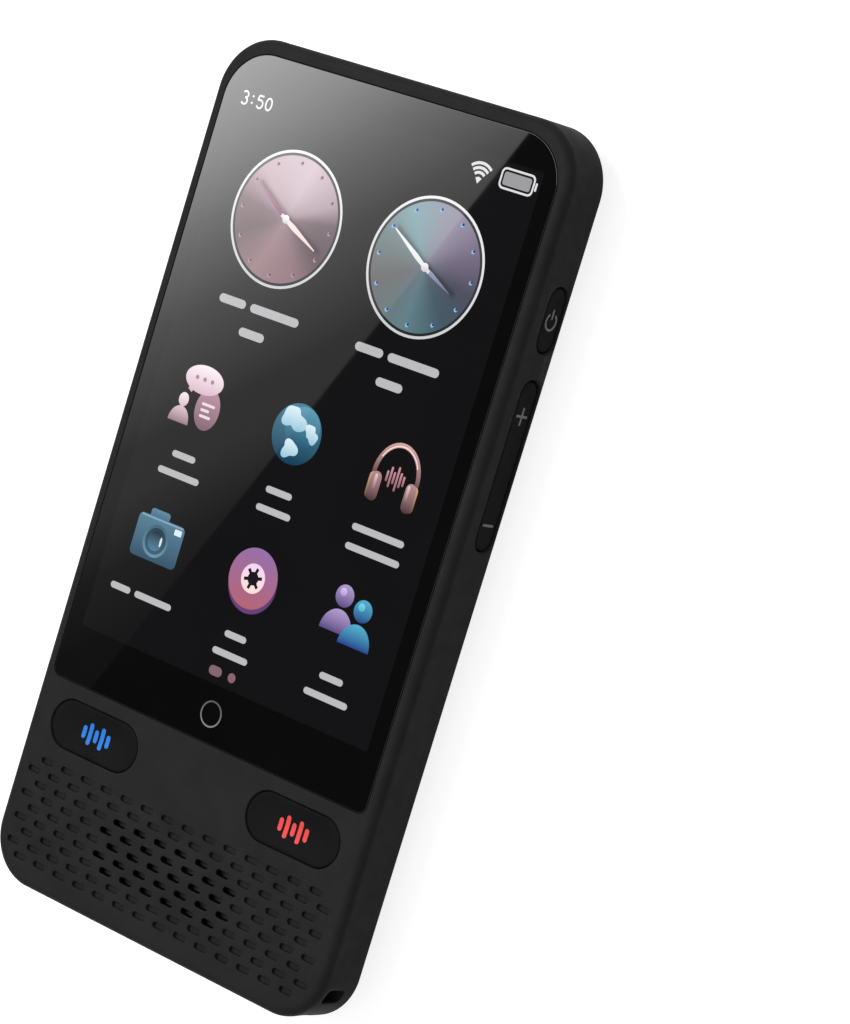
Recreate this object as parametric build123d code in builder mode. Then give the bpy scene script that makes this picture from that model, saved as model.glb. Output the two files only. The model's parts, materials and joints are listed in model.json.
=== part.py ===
from build123d import *
from math import asin, cos, degrees, radians, sin
import os

# Handheld translator: a bar-shaped handset with a touch display on the front, two talk keys and a
# loudspeaker grille under it, side keys on the right wall, a card tray in the left wall, and a rear
# camera in a cover with long wavy ribs.
# Frame: the handset lies on its back. +Z points out of the display, +Y to the top end, +X to the side
# with the power and volume keys. The origin is at the bottom centre of the whole part, on the plane of
# the camera window's outer face. All sizes are in millimetres.

# ---------------------------------------------------------------- housing
BODY_WIDTH = 66.0
BODY_LENGTH = 132.2
TOP_CORNER_R = 8.8
BOTTOM_CORNER_R = 8.1
WINDOW_RAISE = 0.6
BODY_THICKNESS = 11.9
SEAM_DEPTH = 8.2
FRONT_EDGE_R = 1.4
FRONT_EDGE_FLATS = 3
WALL = 1.8
FACE_THICKNESS = 2.1

BACK_Z = WINDOW_RAISE
FRONT_Z = BACK_Z + BODY_THICKNESS
SEAM_Z = FRONT_Z - SEAM_DEPTH
CEILING_Z = FRONT_Z - FACE_THICKNESS
SIDE_X = BODY_WIDTH / 2
END_Y = BODY_LENGTH / 2
INNER_WALL_X = SIDE_X - WALL

# ---------------------------------------------------------------- rear cover
BACK_INSET = 6.8
BACK_EDGE_FLATS = 5
FLOOR_THICKNESS = 1.3
HOLLOW_TAPER = 40
LIP_CLEARANCE = 0.1
LIP_THICKNESS = 1.0
LIP_HEIGHT = 1.0
# Straight runs of the lip, (from, to): along Y on each side, and along X at each end
LIP_RIGHT_RUNS = [(-58.0, 3.0), (47.0, 57.3)]
LIP_LEFT_RUNS = [(-58.0, 6.9), (22.9, 57.3)]
LIP_TOP_RUNS = [(-24.2, 24.2)]
LIP_BOTTOM_RUNS = [(-24.9, -6.0), (6.0, 11.5), (16.5, 24.9)]
CLIP_YS = (-50, -24, 53)
CLIP_LENGTH = 6.0
CLIP_REACH = 0.4
CLIP_HEIGHT = 0.5
CLIP_RISE = 0.6
CLIP_END_GAP = 0.2

FLOOR_Z = BACK_Z + FLOOR_THICKNESS
BACK_DROP = SEAM_Z - BACK_Z
# The edge curve is one arc, tangent to the back, that meets the side wall in a crease at the seam
BACK_EDGE_R = (BACK_INSET**2 + BACK_DROP**2) / (2 * BACK_DROP)
BACK_EDGE_ARC = degrees(asin(BACK_INSET / BACK_EDGE_R))
LIP_INSET = WALL + LIP_CLEARANCE
CLIP_Z = SEAM_Z + CLIP_RISE

# ---------------------------------------------------------------- ribs of the rear cover
# Grooves run down the back in one family. At each Y: the X of groove 0, and the pitch of the rest.
RIB_STATIONS = [
    (62.0, -21.9, 1.85),
    (40.0, -21.9, 2.0),
    (12.0, -16.8, 2.45),
    (-18.0, -16.7, 2.8),
    (-38.0, -21.7, 3.05),
    (-60.0, -33.2, 3.1),
]
RIB_FIRST = -3
RIB_COUNT = 30
RIB_DEPTH = 0.15
RIB_FLOOR_WIDTH = 0.4
RIB_SIDE_ANGLE = 65
RIB_CAMERA_MARGIN = 0.9

# ---------------------------------------------------------------- display stack
GLASS_WIDTH = 62.0
GLASS_LENGTH = 97.9
GLASS_Y = 14.8
GLASS_TOP_R = 7.5
GLASS_BOTTOM_R = 1.5
GLASS_THICKNESS = 0.9
GLASS_BEVEL = 0.2
GLASS_GAP = 0.1
ADHESIVE_THICKNESS = 0.15
ADHESIVE_INSET = 0.3
ADHESIVE_SETBACK = 0.2
PANEL_WIDTH = 58.4
PANEL_LOW_Y = -28.5
PANEL_HIGH_Y = 60.2
PANEL_THICKNESS = 1.7
PANEL_CORNER = 1.2
PANEL_GAP = 0.3
PANEL_RIM_SIDE = 3.0
PANEL_RIM_END = 4.0
PANEL_STEP = 0.3
FLEX_ROOM = 3.0
OPENING_CORNER = 1.5
FLEX_THICKNESS = 0.15
DISPLAY_FLEX_X = -17.0
DISPLAY_FLEX_WIDTH = 10.0
# Route (Y, Z): out of the panel's foot, back through the mid frame, and up to the main board
DISPLAY_FLEX_ROUTE = [
    (-28.5, 10.6), (-30.3, 10.6), (-30.9, 10.0), (-30.9, 9.2),
    (-30.3, 8.6), (3.0, 8.6), (6.0, 8.38), (14.0, 8.38),
]

GLASS_BACK_Z = FRONT_Z - GLASS_THICKNESS
POCKET_Z = GLASS_BACK_Z - ADHESIVE_THICKNESS
PANEL_BACK_Z = GLASS_BACK_Z - PANEL_THICKNESS
PANEL_Y = (PANEL_LOW_Y + PANEL_HIGH_Y) / 2
PANEL_LENGTH = PANEL_HIGH_Y - PANEL_LOW_Y
OPENING_WIDTH = PANEL_WIDTH + 2 * PANEL_GAP
OPENING_LOW_Y = PANEL_LOW_Y - FLEX_ROOM
OPENING_HIGH_Y = PANEL_HIGH_Y + PANEL_GAP

# ---------------------------------------------------------------- mid frame and screws
FRAME_THICKNESS = 0.8
FRAME_GAP = 0.1
FRAME_HALF_WIDTH = 29.9
FRAME_LOW_Y = -33.8
FRAME_HIGH_Y = 63.9
FRAME_CORNER = 3.5
TONGUE_HALF_WIDTH = 9.0
TONGUE_LOW_Y = -39.8
FRAME_WINDOW_WIDTH = 26.0
FRAME_WINDOW_LENGTH = 20.0
FRAME_WINDOW_PITCH = 27.0
FRAME_WINDOW_CORNER = 2.0
FLEX_SLOT_RISE = 2.9
FLEX_SLOT_LENGTH = 2.6
FLEX_SLOT_MARGIN = 1.0
SCREW_SIDES = 6
SCREW_R = 0.7
SCREW_PLAY = 0.03
SCREW_HEAD_R = 1.3
SCREW_HEAD_HEIGHT = 0.6
SCREW_LENGTH = 2.0
SCREW_TIP_ROOM = 0.1
CLEARANCE_HOLE_R = 0.85
BOSS_R = 1.7

FRAME_TOP_Z = PANEL_BACK_Z - FRAME_GAP
FRAME_BACK_Z = FRAME_TOP_Z - FRAME_THICKNESS
HOUSING_SCREWS = [(-20.0, 62.2), (20.0, 62.2), (-6.0, -37.6), (6.0, -37.6)]

# ---------------------------------------------------------------- talk keys and their board
TALK_X = 19.85
TALK_Y = -40.3
TALK_LENGTH = 17.2
TALK_WIDTH = 7.3
TALK_GAP = 0.2
TALK_RECESS = 0.15
TALK_TRAVEL = 0.4
TALK_EDGE = 0.25
TALK_FLANGE = 0.9
TALK_FLANGE_CORNER = 3.0
TALK_FLANGE_THICKNESS = 0.6
TALK_FLANGE_GAP = 0.1
TALK_PLUNGER_R = 1.5
TALK_PLUNGER_SIDES = 6
DISH_DEPTH = 0.3
DISH_MARGIN = 0.7
DISH_TAPER = 75
DOME_R = 2.5
DOME_HEIGHT = 0.5
DOME_TAPER = 65
DOME_SIDES = 12
SWITCH_REST_GAP = 0.1
TALK_BOARD_TOP_Z = 8.2
TALK_BOARD_THICKNESS = 0.6
TALK_BOARD_Y = -40.45
TALK_BOARD_LENGTH = 58.0
TALK_BOARD_WIDTH = 8.9
TALK_SCREW_Y = -43.3
BOARD_BLOCK_LENGTH = 17.0
BOARD_BLOCK_WIDTH = 3.2

TALK_TOP_Z = FRONT_Z - TALK_RECESS
TALK_FLANGE_TOP_Z = CEILING_Z - TALK_FLANGE_GAP
TALK_FLANGE_BACK_Z = TALK_FLANGE_TOP_Z - TALK_FLANGE_THICKNESS
TALK_PLUNGER_Z = TALK_BOARD_TOP_Z + DOME_HEIGHT + TALK_TRAVEL + SWITCH_REST_GAP
TALK_BOARD_Z = TALK_BOARD_TOP_Z - TALK_BOARD_THICKNESS
TALK_BOARD_SCREWS = [(-6.0, TALK_SCREW_Y), (6.0, TALK_SCREW_Y)]

# ---------------------------------------------------------------- loudspeaker and its grille
GRILLE_ROWS = 9
GRILLE_Y = -54.5
GRILLE_ROW_PITCH = 1.88
GRILLE_SLOT_PITCH = 4.15
GRILLE_SLOT_LENGTH = 2.5
GRILLE_SLOT_WIDTH = 0.9
GRILLE_DIMPLE_DEPTH = 0.5
GRILLE_SHORT_ROW = 14
GRILLE_OPEN_ROWS = range(2, 7)
GRILLE_OPEN_SHORT = 6
CHAMBER_LENGTH = 32.8
CHAMBER_WIDTH = 12.2
CHAMBER_DEPTH = 0.9
MESH_THICKNESS = 0.15
MESH_GAP = 0.1
GASKET_OPENING_LENGTH = 28.6
GASKET_OPENING_WIDTH = 9.2
SPEAKER_LENGTH = 32.4
SPEAKER_HIGH_Y = -48.1
SPEAKER_LOW_Y = -60.4
SPEAKER_STEP_Y = -58.7
SPEAKER_STEP_Z = 8.4
SPEAKER_BACK_Z = 6.5
SPEAKER_WALL_X = 16.9
SPEAKER_WALL_THICKNESS = 0.8
SPEAKER_WALL_LENGTH = 8.0
SPEAKER_WALL_Z = 7.4
CONE_LENGTH = 26.0
CONE_WIDTH = 8.0
CONE_CORNER = 1.0
CONE_DEPTH = 0.4
CONE_SURROUND = 1.6
PAD_LENGTH = 22.0
PAD_WIDTH = 6.0

CHAMBER_Z = CEILING_Z + CHAMBER_DEPTH

# ---------------------------------------------------------------- side keys and their board
SIDE_KEY_Z = 6.8
SIDE_KEY_WIDTH = 4.4
SIDE_KEY_GAP = 0.25
SIDE_KEY_RECESS = 0.25
SIDE_KEY_TRAVEL = 0.35
SIDE_KEY_EDGE = 0.2
SIDE_FLANGE_THICKNESS = 0.55
SIDE_PLUNGER_SIZE = 1.8
POWER_Y = 39.7
POWER_LENGTH = 9.8
POWER_FLANGE_GAP = 0.15
POWER_FLANGE_REACH = 0.7
VOLUME_Y = 18.4
VOLUME_LENGTH = 25.3
VOLUME_FLANGE_GAP = 0.35
VOLUME_FLANGE_REACH = 0.6
VOLUME_SWITCH_OFFSET = 8.0
VOLUME_REST_GAP = 0.3
VOLUME_PIVOT_X = 30.45
PIVOT_R = 0.5
PIVOT_SIDES = 12
PIVOT_GAP = 0.05
FULCRUM_SIZE = 1.6
FULCRUM_HOLE = 1.8
SIDE_BOARD_X = 28.2
SIDE_BOARD_THICKNESS = 0.4
SIDE_BOARD_Y = 25.0
SIDE_BOARD_LENGTH = 43.0
SIDE_BOARD_LOW_Z = 4.9
SIDE_TAB_THICKNESS = 0.8
SWITCH_HEIGHT = 0.95
SWITCH_LENGTH = 3.0
SWITCH_WIDTH = 2.6
SWITCH_STEM_LENGTH = 1.6
SWITCH_STEM_WIDTH = 1.2
SWITCH_STEM_HEIGHT = 0.3

SIDE_FACE_X = SIDE_X - SIDE_KEY_RECESS
SIDE_CAP_WIDTH = SIDE_KEY_WIDTH - 2 * SIDE_KEY_GAP
SWITCH_SEAT_X = SIDE_BOARD_X + SIDE_BOARD_THICKNESS
SWITCH_FACE_X = SWITCH_SEAT_X + SWITCH_HEIGHT
POWER_FLANGE_X = INNER_WALL_X - POWER_FLANGE_GAP
POWER_TIP_X = SWITCH_FACE_X + SIDE_KEY_TRAVEL + SWITCH_REST_GAP
VOLUME_FLANGE_X = INNER_WALL_X - VOLUME_FLANGE_GAP
VOLUME_TIP_X = SWITCH_FACE_X + VOLUME_REST_GAP
SIDE_SWITCH_YS = (POWER_Y, VOLUME_Y - VOLUME_SWITCH_OFFSET, VOLUME_Y + VOLUME_SWITCH_OFFSET)
SIDE_BOARD_Z = (SIDE_BOARD_LOW_Z + FRAME_BACK_Z) / 2
SIDE_BOARD_HEIGHT = FRAME_BACK_Z - SIDE_BOARD_LOW_Z

# ---------------------------------------------------------------- card tray and its socket
TRAY_Y = 14.9
TRAY_Z = 5.85
TRAY_CAP_LENGTH = 13.1
TRAY_CAP_HEIGHT = 2.1
TRAY_CAP_THICKNESS = 1.3
TRAY_CAP_RECESS = 0.25
TRAY_CAP_EDGE = 0.15
TRAY_SLOT_GAP = 0.2
TRAY_WIDTH = 12.2
TRAY_THICKNESS = 1.2
TRAY_REACH = 20.0
CARD_LENGTH = 12.4
CARD_WIDTH = 8.9
CARD_THICKNESS = 0.7
CARD_SHIFT = 1.0
CONTACT_MARGIN = 1.2
SOCKET_LOW_Z = 4.75
SOCKET_WALL_GAP = 0.3
SOCKET_SIDE_WALL = 1.1
SOCKET_SIDE_GAP = 0.3
SOCKET_LIFT_GAP = 0.2
SOCKET_END_GAP = 0.25
SOCKET_END_WALL = 0.3

TRAY_FACE_X = TRAY_CAP_RECESS - SIDE_X
TRAY_BODY_X = TRAY_FACE_X + TRAY_CAP_THICKNESS
TRAY_TOP_Z = TRAY_Z + TRAY_THICKNESS / 2
CARD_X = TRAY_BODY_X + TRAY_REACH / 2 + CARD_SHIFT
SOCKET_LOW_X = SOCKET_WALL_GAP - INNER_WALL_X
SOCKET_DEPTH = TRAY_BODY_X + TRAY_REACH + SOCKET_END_GAP - SOCKET_LOW_X
SOCKET_HIGH_X = SOCKET_LOW_X + SOCKET_DEPTH + SOCKET_END_WALL

# ---------------------------------------------------------------- ports, microphones and lanyard post
USB_Z = 6.5
USB_WIDTH = 8.94
USB_HEIGHT = 3.26
USB_WALL = 0.3
USB_LENGTH = 6.6
USB_RECESS = 0.6
USB_GAP = 0.2
USB_BACK_WALL = 0.6
USB_TONGUE_WIDTH = 6.69
USB_TONGUE_THICKNESS = 0.7
USB_TONGUE_SETBACK = 1.0
CHARGE_BOARD_Y = -54.8
CHARGE_BOARD_LENGTH = 44.0
CHARGE_BOARD_WIDTH = 15.6
CHARGE_TAB_X = -25.5
CHARGE_TAB_LENGTH = 7.6
CHARGE_TAB_WIDTH = 7.0
MIC_HOLE_R = 0.5
MIC_HOLE_SIDES = 8
MIC_LENGTH = 3.6
MIC_GAP = 0.1
SIDE_MIC_Y = -7.9
SIDE_MIC_Z = 6.7
SIDE_MIC_WIDTH = 2.8
SIDE_MIC_THICKNESS = 1.1
SIDE_MIC_RISE = 0.9
END_MIC_X = 14.0
END_MIC_WIDTH = 2.2
END_MIC_HEIGHT = 2.6
LANYARD_Z = 8.5
LANYARD_HEIGHT = 4.0
LANYARD_WIDTH = 2.3
LANYARD_CORNER = 0.7
LANYARD_Y = -60.9
LANYARD_X = 27.8
POST_FILL_SIZE = 10.5
POST_FILL_SHIFT = 3.0
LINK_FLEX_X = -28.0
LINK_FLEX_WIDTH = 3.0
# Route (Y, Z): from the main board, along the battery's side, and down to the charge board
LINK_FLEX_ROUTE = [(7.2, 7.42), (2.0, 7.42), (-4.0, 5.4), (-45.5, 5.4), (-48.0, 4.95), (-52.0, 4.95)]

CHARGE_BOARD_TOP_Z = USB_Z - USB_HEIGHT / 2
USB_FACE_Y = USB_RECESS - END_Y

# ---------------------------------------------------------------- rear camera
ISLAND_X = -11.8
ISLAND_Y = 45.65
ISLAND_WIDTH = 12.5
ISLAND_LENGTH = 26.2
ISLAND_R = 3.4
ISLAND_GROOVE = 0.55
ISLAND_RIM_WIDTH = 0.8
ISLAND_RIM_HEIGHT = 0.2
ISLAND_RIM_ROOT = 0.2
ISLAND_RIM_TAPER = 45
WINDOW_EDGE = 0.2
WINDOW_FLANGE = 1.8
WINDOW_FLANGE_CORNER = 3.0
WINDOW_FLANGE_THICKNESS = 0.6
CAMERA_Y = 51.95
RING_WIDTH = 11.4
RING_LENGTH = 12.3
RING_R = 2.9
RING_LINE = 0.55
RING_DEPTH = 0.7
RING_GAP = 0.05
PANE_DEPTH = 0.6
PANE_GAP = 0.03
LENS_R = 2.25
LENS_GAP = 0.05
LENS_EDGE = 0.2
LENS_FRONT_Z = 0.12
LENS_BACK_Z = 1.6
BARREL_R = 2.4
BARREL_SIDES = 12
BARREL_GAP = 0.2
MODULE_Z = 4.0
MODULE_WIDTH = 8.5
SEAL_GAP = 0.3

WINDOW_BACK_Z = FLOOR_Z + WINDOW_FLANGE_THICKNESS
RIM_TOP_Z = BACK_Z - ISLAND_RIM_HEIGHT

# ---------------------------------------------------------------- boards, battery and other inner parts
BOARD_THICKNESS = 0.8
BOARD_Z = 7.5
BOARD_SCREWS = [(-24.0, 56.0), (23.5, 56.0), (23.5, 30.0), (-24.0, 30.0)]
# Corners (X, Y) of the main board, which leaves the room over the battery free
BOARD_CORNERS = [
    (-28.5, 5.5), (-12.0, 5.5), (-12.0, 26.0), (27.0, 26.0),
    (27.0, 57.5), (23.0, 61.5), (-24.5, 61.5), (-28.5, 57.5),
]
BOARD_FLEX_Z = 8.38
SHIELD_X = 8.0
SHIELD_Y = 44.0
SHIELD_WIDTH = 22.0
SHIELD_LENGTH = 26.0
SHIELD_HEIGHT = 1.8
SHIELD_WALL = 0.25
PROCESSOR_Y = 48.0
PROCESSOR_SIZE = 12.0
PROCESSOR_HEIGHT = 1.1
BATTERY_X = 8.5
BATTERY_Y = -6.0
BATTERY_WIDTH = 36.0
BATTERY_LENGTH = 56.0
BATTERY_THICKNESS = 5.4
BATTERY_CORNER = 1.0
BATTERY_FLEX_X = 13.0
BATTERY_FLEX_WIDTH = 6.0
BATTERY_FLEX_END_Y = 31.0
MOTOR_X = -20.0
MOTOR_Y = -24.0
MOTOR_R = 5.0
MOTOR_SIDES = 16
MOTOR_THICKNESS = 2.7
ANTENNA_X = 13.0
ANTENNA_Y = 56.5
ANTENNA_LENGTH = 22.0
ANTENNA_WIDTH = 6.0
ANTENNA_WINDOW_PITCH = 8.0
ANTENNA_WINDOW_LENGTH = 5.0
ANTENNA_WINDOW_WIDTH = 3.0
POST_PITCH_X = 36.0
POST_PITCH_Y = 9.0
POST_SIZE = 2.6


def handset_outline(height, inset=0.0):
    """Outline of the handset at a height, drawn in from the outer wall by an inset."""
    with BuildSketch(Plane.XY.offset(height)) as outline:
        Rectangle(BODY_WIDTH - 2 * inset, BODY_LENGTH - 2 * inset)
        fillet(outline.vertices().group_by(Axis.Y)[-1], TOP_CORNER_R - inset)
        fillet(outline.vertices().group_by(Axis.Y)[0], BOTTOM_CORNER_R - inset)
    return outline.sketch


def hollow_outline(height, inset):
    """The handset's outline drawn in by an inset, with plain cut corners for the hidden hollow."""
    with BuildSketch(Plane.XY.offset(height)) as outline:
        Rectangle(BODY_WIDTH - 2 * inset, BODY_LENGTH - 2 * inset)
        chamfer(outline.vertices().group_by(Axis.Y)[-1], TOP_CORNER_R - inset)
        chamfer(outline.vertices().group_by(Axis.Y)[0], BOTTOM_CORNER_R - inset)
    return outline.sketch


def soft_edge(face_z, toward, radius, arc, flats):
    """Slices of the handset between a face and the wall. Their slope follows an arc, tangent to the
    face, cut into flats. toward is 1 for a face that points up and -1 for one that points down."""
    reach = radius * sin(radians(arc))
    for step in range(flats):
        near = arc * step / flats
        far = arc * (step + 1) / flats
        start_z = face_z - toward * radius * (1 - cos(radians(far)))
        rise = toward * radius * (cos(radians(near)) - cos(radians(far)))
        slice_base = handset_outline(start_z, reach - radius * sin(radians(far)))
        extrude(slice_base, amount=rise, taper=90 - (near + far) / 2)


def glass_outline(height, grow=0.0):
    """Outline of the cover glass at a height, grown outwards by a margin."""
    with BuildSketch(Plane.XY.offset(height)) as outline:
        with Locations((0, GLASS_Y)):
            Rectangle(GLASS_WIDTH + 2 * grow, GLASS_LENGTH + 2 * grow)
        fillet(outline.vertices().group_by(Axis.Y)[-1], GLASS_TOP_R + grow)
        fillet(outline.vertices().group_by(Axis.Y)[0], GLASS_BOTTOM_R + grow)
    return outline.sketch


def span_rectangle(height, width, low_y, high_y, corner):
    """Rectangle with cut corners, centred on X, that runs from one Y to another."""
    with BuildSketch(Plane.XY.offset(height)) as rectangle:
        with Locations((0, (low_y + high_y) / 2)):
            Rectangle(width, high_y - low_y)
        chamfer(rectangle.vertices(), corner)
    return rectangle.sketch


def island_outline(height, grow=0.0):
    """Outline of the camera island at a height, grown outwards by a margin."""
    with BuildSketch(Plane.XY.offset(height)) as outline:
        with Locations((ISLAND_X, ISLAND_Y)):
            RectangleRounded(ISLAND_WIDTH + 2 * grow, ISLAND_LENGTH + 2 * grow, ISLAND_R + grow)
    return outline.sketch


def ring_outline(height, inset=0.0):
    """Rounded square round the camera at a height, drawn inwards by an inset."""
    with BuildSketch(Plane.XY.offset(height)) as outline:
        with Locations((ISLAND_X, CAMERA_Y)):
            RectangleRounded(RING_WIDTH - 2 * inset, RING_LENGTH - 2 * inset, RING_R - inset)
    return outline.sketch


def talk_outline(height, side, grow=0.0):
    """Stadium of one talk key at a height; side is -1 for the left key and 1 for the right one."""
    with BuildSketch(Plane.XY.offset(height)) as outline:
        with Locations((side * TALK_X, TALK_Y)):
            SlotOverall(TALK_LENGTH + 2 * grow, TALK_WIDTH + 2 * grow)
    return outline.sketch


def side_key_outline(offset_x, centre_y, length, grow=0.0):
    """Stadium of a side key on a plane across X, long along Y, grown outwards by a margin."""
    wall = Plane(origin=(offset_x, centre_y, SIDE_KEY_Z), x_dir=(0, 1, 0), z_dir=(1, 0, 0))
    with BuildSketch(wall) as outline:
        SlotOverall(length + 2 * grow, SIDE_KEY_WIDTH + 2 * grow)
    return outline.sketch


def tray_plane(offset_x):
    """Plane across X that faces out of the left wall, centred on the card tray."""
    return Plane(origin=(offset_x, TRAY_Y, TRAY_Z), x_dir=(0, -1, 0), z_dir=(-1, 0, 0))


def end_plane(offset_y, centre_x, height):
    """Plane across Y that faces out of the bottom end."""
    return Plane(origin=(centre_x, offset_y, height), x_dir=(1, 0, 0), z_dir=(0, -1, 0))


def grille_slots(height, rows, short_count):
    """Staggered rows of slots: a short row, then one with a slot more, and so on."""
    with BuildSketch(Plane.XY.offset(height)) as slots:
        for row in rows:
            row_y = GRILLE_Y + ((GRILLE_ROWS - 1) / 2 - row) * GRILLE_ROW_PITCH
            with Locations((0, row_y)):
                with GridLocations(GRILLE_SLOT_PITCH, 1, short_count + row % 2, 1):
                    Rectangle(GRILLE_SLOT_LENGTH, GRILLE_SLOT_WIDTH)
    return slots.sketch


def lanyard_mouth(mouth_plane):
    """Upright mouth of the lanyard tunnel, with cut corners."""
    with BuildSketch(mouth_plane) as mouth:
        Rectangle(LANYARD_WIDTH, LANYARD_HEIGHT)
        chamfer(mouth.vertices(), LANYARD_CORNER)
    return mouth.sketch


def flat_flex(centre_x, width, points):
    """Flat ribbon of one width that follows points given as (Y, Z)."""
    with BuildPart() as ribbon:
        with BuildSketch(Plane.YZ.offset(centre_x - width / 2)):
            with BuildLine():
                Polyline(*points)
            trace(line_width=FLEX_THICKNESS)
        extrude(amount=width)
    return ribbon


def screw_outlines(height, places, radius):
    """Six-sided outlines for the small hidden screws, their holes and their bosses."""
    with BuildSketch(Plane.XY.offset(height)) as outline:
        with Locations(*places):
            RegularPolygon(radius, SCREW_SIDES)
    return outline.sketch


def save(piece, label):
    """Label a finished piece and write it to its own file."""
    piece.part.label = label
    export_step(piece.part, f"parts/{label}.step")


os.makedirs("parts", exist_ok=True)

# ---------------------------------------------------------------- front housing
with BuildPart() as front_housing:
    extrude(handset_outline(SEAM_Z), amount=FRONT_Z - FRONT_EDGE_R - SEAM_Z)
    soft_edge(FRONT_Z, 1, FRONT_EDGE_R, 90, FRONT_EDGE_FLATS)
    extrude(handset_outline(SEAM_Z, WALL), amount=CEILING_Z - SEAM_Z, mode=Mode.SUBTRACT)
    # Pocket and opening for the display
    extrude(glass_outline(FRONT_Z, GLASS_GAP), amount=POCKET_Z - FRONT_Z, mode=Mode.SUBTRACT)
    extrude(
        span_rectangle(SEAM_Z, OPENING_WIDTH, OPENING_LOW_Y, OPENING_HIGH_Y, OPENING_CORNER),
        amount=FRONT_Z - SEAM_Z,
        mode=Mode.SUBTRACT,
    )
    # Talk keys
    for side in (-1, 1):
        extrude(talk_outline(CEILING_Z, side, TALK_GAP), amount=FACE_THICKNESS, mode=Mode.SUBTRACT)
    # Grille: dimples all over, open slots in the middle, and the sound chamber behind them
    extrude(
        grille_slots(FRONT_Z, range(GRILLE_ROWS), GRILLE_SHORT_ROW),
        amount=-GRILLE_DIMPLE_DEPTH,
        mode=Mode.SUBTRACT,
    )
    extrude(
        grille_slots(FRONT_Z, GRILLE_OPEN_ROWS, GRILLE_OPEN_SHORT),
        amount=-FACE_THICKNESS,
        mode=Mode.SUBTRACT,
    )
    with BuildSketch(Plane.XY.offset(CEILING_Z)) as chamber:
        with Locations((0, GRILLE_Y)):
            Rectangle(CHAMBER_LENGTH, CHAMBER_WIDTH)
    extrude(amount=CHAMBER_DEPTH, mode=Mode.SUBTRACT)
    # Side keys in the right wall
    for key_y, key_length in ((POWER_Y, POWER_LENGTH), (VOLUME_Y, VOLUME_LENGTH)):
        extrude(side_key_outline(SIDE_X, key_y, key_length), amount=-WALL, mode=Mode.SUBTRACT)
    # Card tray and side microphone in the left wall
    with BuildSketch(tray_plane(-SIDE_X)) as tray_slot:
        Rectangle(TRAY_CAP_LENGTH + 2 * TRAY_SLOT_GAP, TRAY_CAP_HEIGHT + 2 * TRAY_SLOT_GAP)
    extrude(amount=-WALL, mode=Mode.SUBTRACT)
    with BuildSketch(Plane.YZ.offset(-SIDE_X)) as side_mic_hole:
        with Locations((SIDE_MIC_Y, SIDE_MIC_Z)):
            RegularPolygon(MIC_HOLE_R, MIC_HOLE_SIDES)
    extrude(amount=WALL, mode=Mode.SUBTRACT)
    # Charging port and end microphone in the bottom wall
    with BuildSketch(end_plane(-END_Y, 0, USB_Z)) as port_hole:
        SlotOverall(USB_WIDTH + 2 * USB_GAP, USB_HEIGHT + 2 * USB_GAP)
    extrude(amount=-WALL, mode=Mode.SUBTRACT)
    with BuildSketch(end_plane(-END_Y, END_MIC_X, USB_Z)) as end_mic_hole:
        RegularPolygon(MIC_HOLE_R, MIC_HOLE_SIDES)
    extrude(amount=-WALL, mode=Mode.SUBTRACT)
    # Bosses for the screws of the mid frame, and the block that carries the talk key board
    extrude(screw_outlines(FRAME_TOP_Z, HOUSING_SCREWS, BOSS_R), amount=CEILING_Z - FRAME_TOP_Z)
    with BuildSketch(Plane.XY.offset(TALK_BOARD_TOP_Z)) as board_block:
        with Locations((0, TALK_SCREW_Y)):
            Rectangle(BOARD_BLOCK_LENGTH, BOARD_BLOCK_WIDTH)
    extrude(amount=CEILING_Z - TALK_BOARD_TOP_Z)
    extrude(
        screw_outlines(FRAME_TOP_Z, HOUSING_SCREWS, SCREW_R),
        amount=SCREW_LENGTH - FRAME_THICKNESS + SCREW_TIP_ROOM,
        mode=Mode.SUBTRACT,
    )
    extrude(
        screw_outlines(TALK_BOARD_TOP_Z, TALK_BOARD_SCREWS, SCREW_R),
        amount=SCREW_LENGTH - TALK_BOARD_THICKNESS + SCREW_TIP_ROOM,
        mode=Mode.SUBTRACT,
    )
    # Walls that hold the loudspeaker
    with BuildSketch(Plane.XY.offset(SPEAKER_WALL_Z)) as speaker_walls:
        with Locations((-SPEAKER_WALL_X, GRILLE_Y), (SPEAKER_WALL_X, GRILLE_Y)):
            Rectangle(SPEAKER_WALL_THICKNESS, SPEAKER_WALL_LENGTH)
    extrude(amount=CEILING_Z - SPEAKER_WALL_Z)
    # Lanyard post: the bottom right corner is filled, and a bent tunnel leaves a post to tie a cord to
    with BuildSketch(Plane.XY.offset(SEAM_Z)) as corner_fill:
        add(handset_outline(0, WALL / 2))
        with Locations((LANYARD_X + POST_FILL_SHIFT, LANYARD_Y - POST_FILL_SHIFT)):
            Rectangle(POST_FILL_SIZE, POST_FILL_SIZE, mode=Mode.INTERSECT)
    extrude(amount=CEILING_Z - SEAM_Z)
    side_mouth = Plane(origin=(SIDE_X, LANYARD_Y, LANYARD_Z), x_dir=(0, 1, 0), z_dir=(1, 0, 0))
    side_run = SIDE_X - LANYARD_X + LANYARD_WIDTH / 2
    extrude(lanyard_mouth(side_mouth), amount=-side_run, mode=Mode.SUBTRACT)
    end_run = END_Y + LANYARD_Y + LANYARD_WIDTH / 2
    extrude(lanyard_mouth(end_plane(-END_Y, LANYARD_X, LANYARD_Z)), amount=-end_run, mode=Mode.SUBTRACT)
    # Grooves that the rear cover's clips snap into
    for side in (-1, 1):
        with Locations(*[(side * INNER_WALL_X, y, CLIP_Z) for y in CLIP_YS]):
            Box(
                2 * (CLIP_REACH + LIP_CLEARANCE),
                CLIP_LENGTH + 2 * CLIP_END_GAP,
                CLIP_HEIGHT + LIP_CLEARANCE,
                mode=Mode.SUBTRACT,
            )
save(front_housing, "front_housing")

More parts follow.
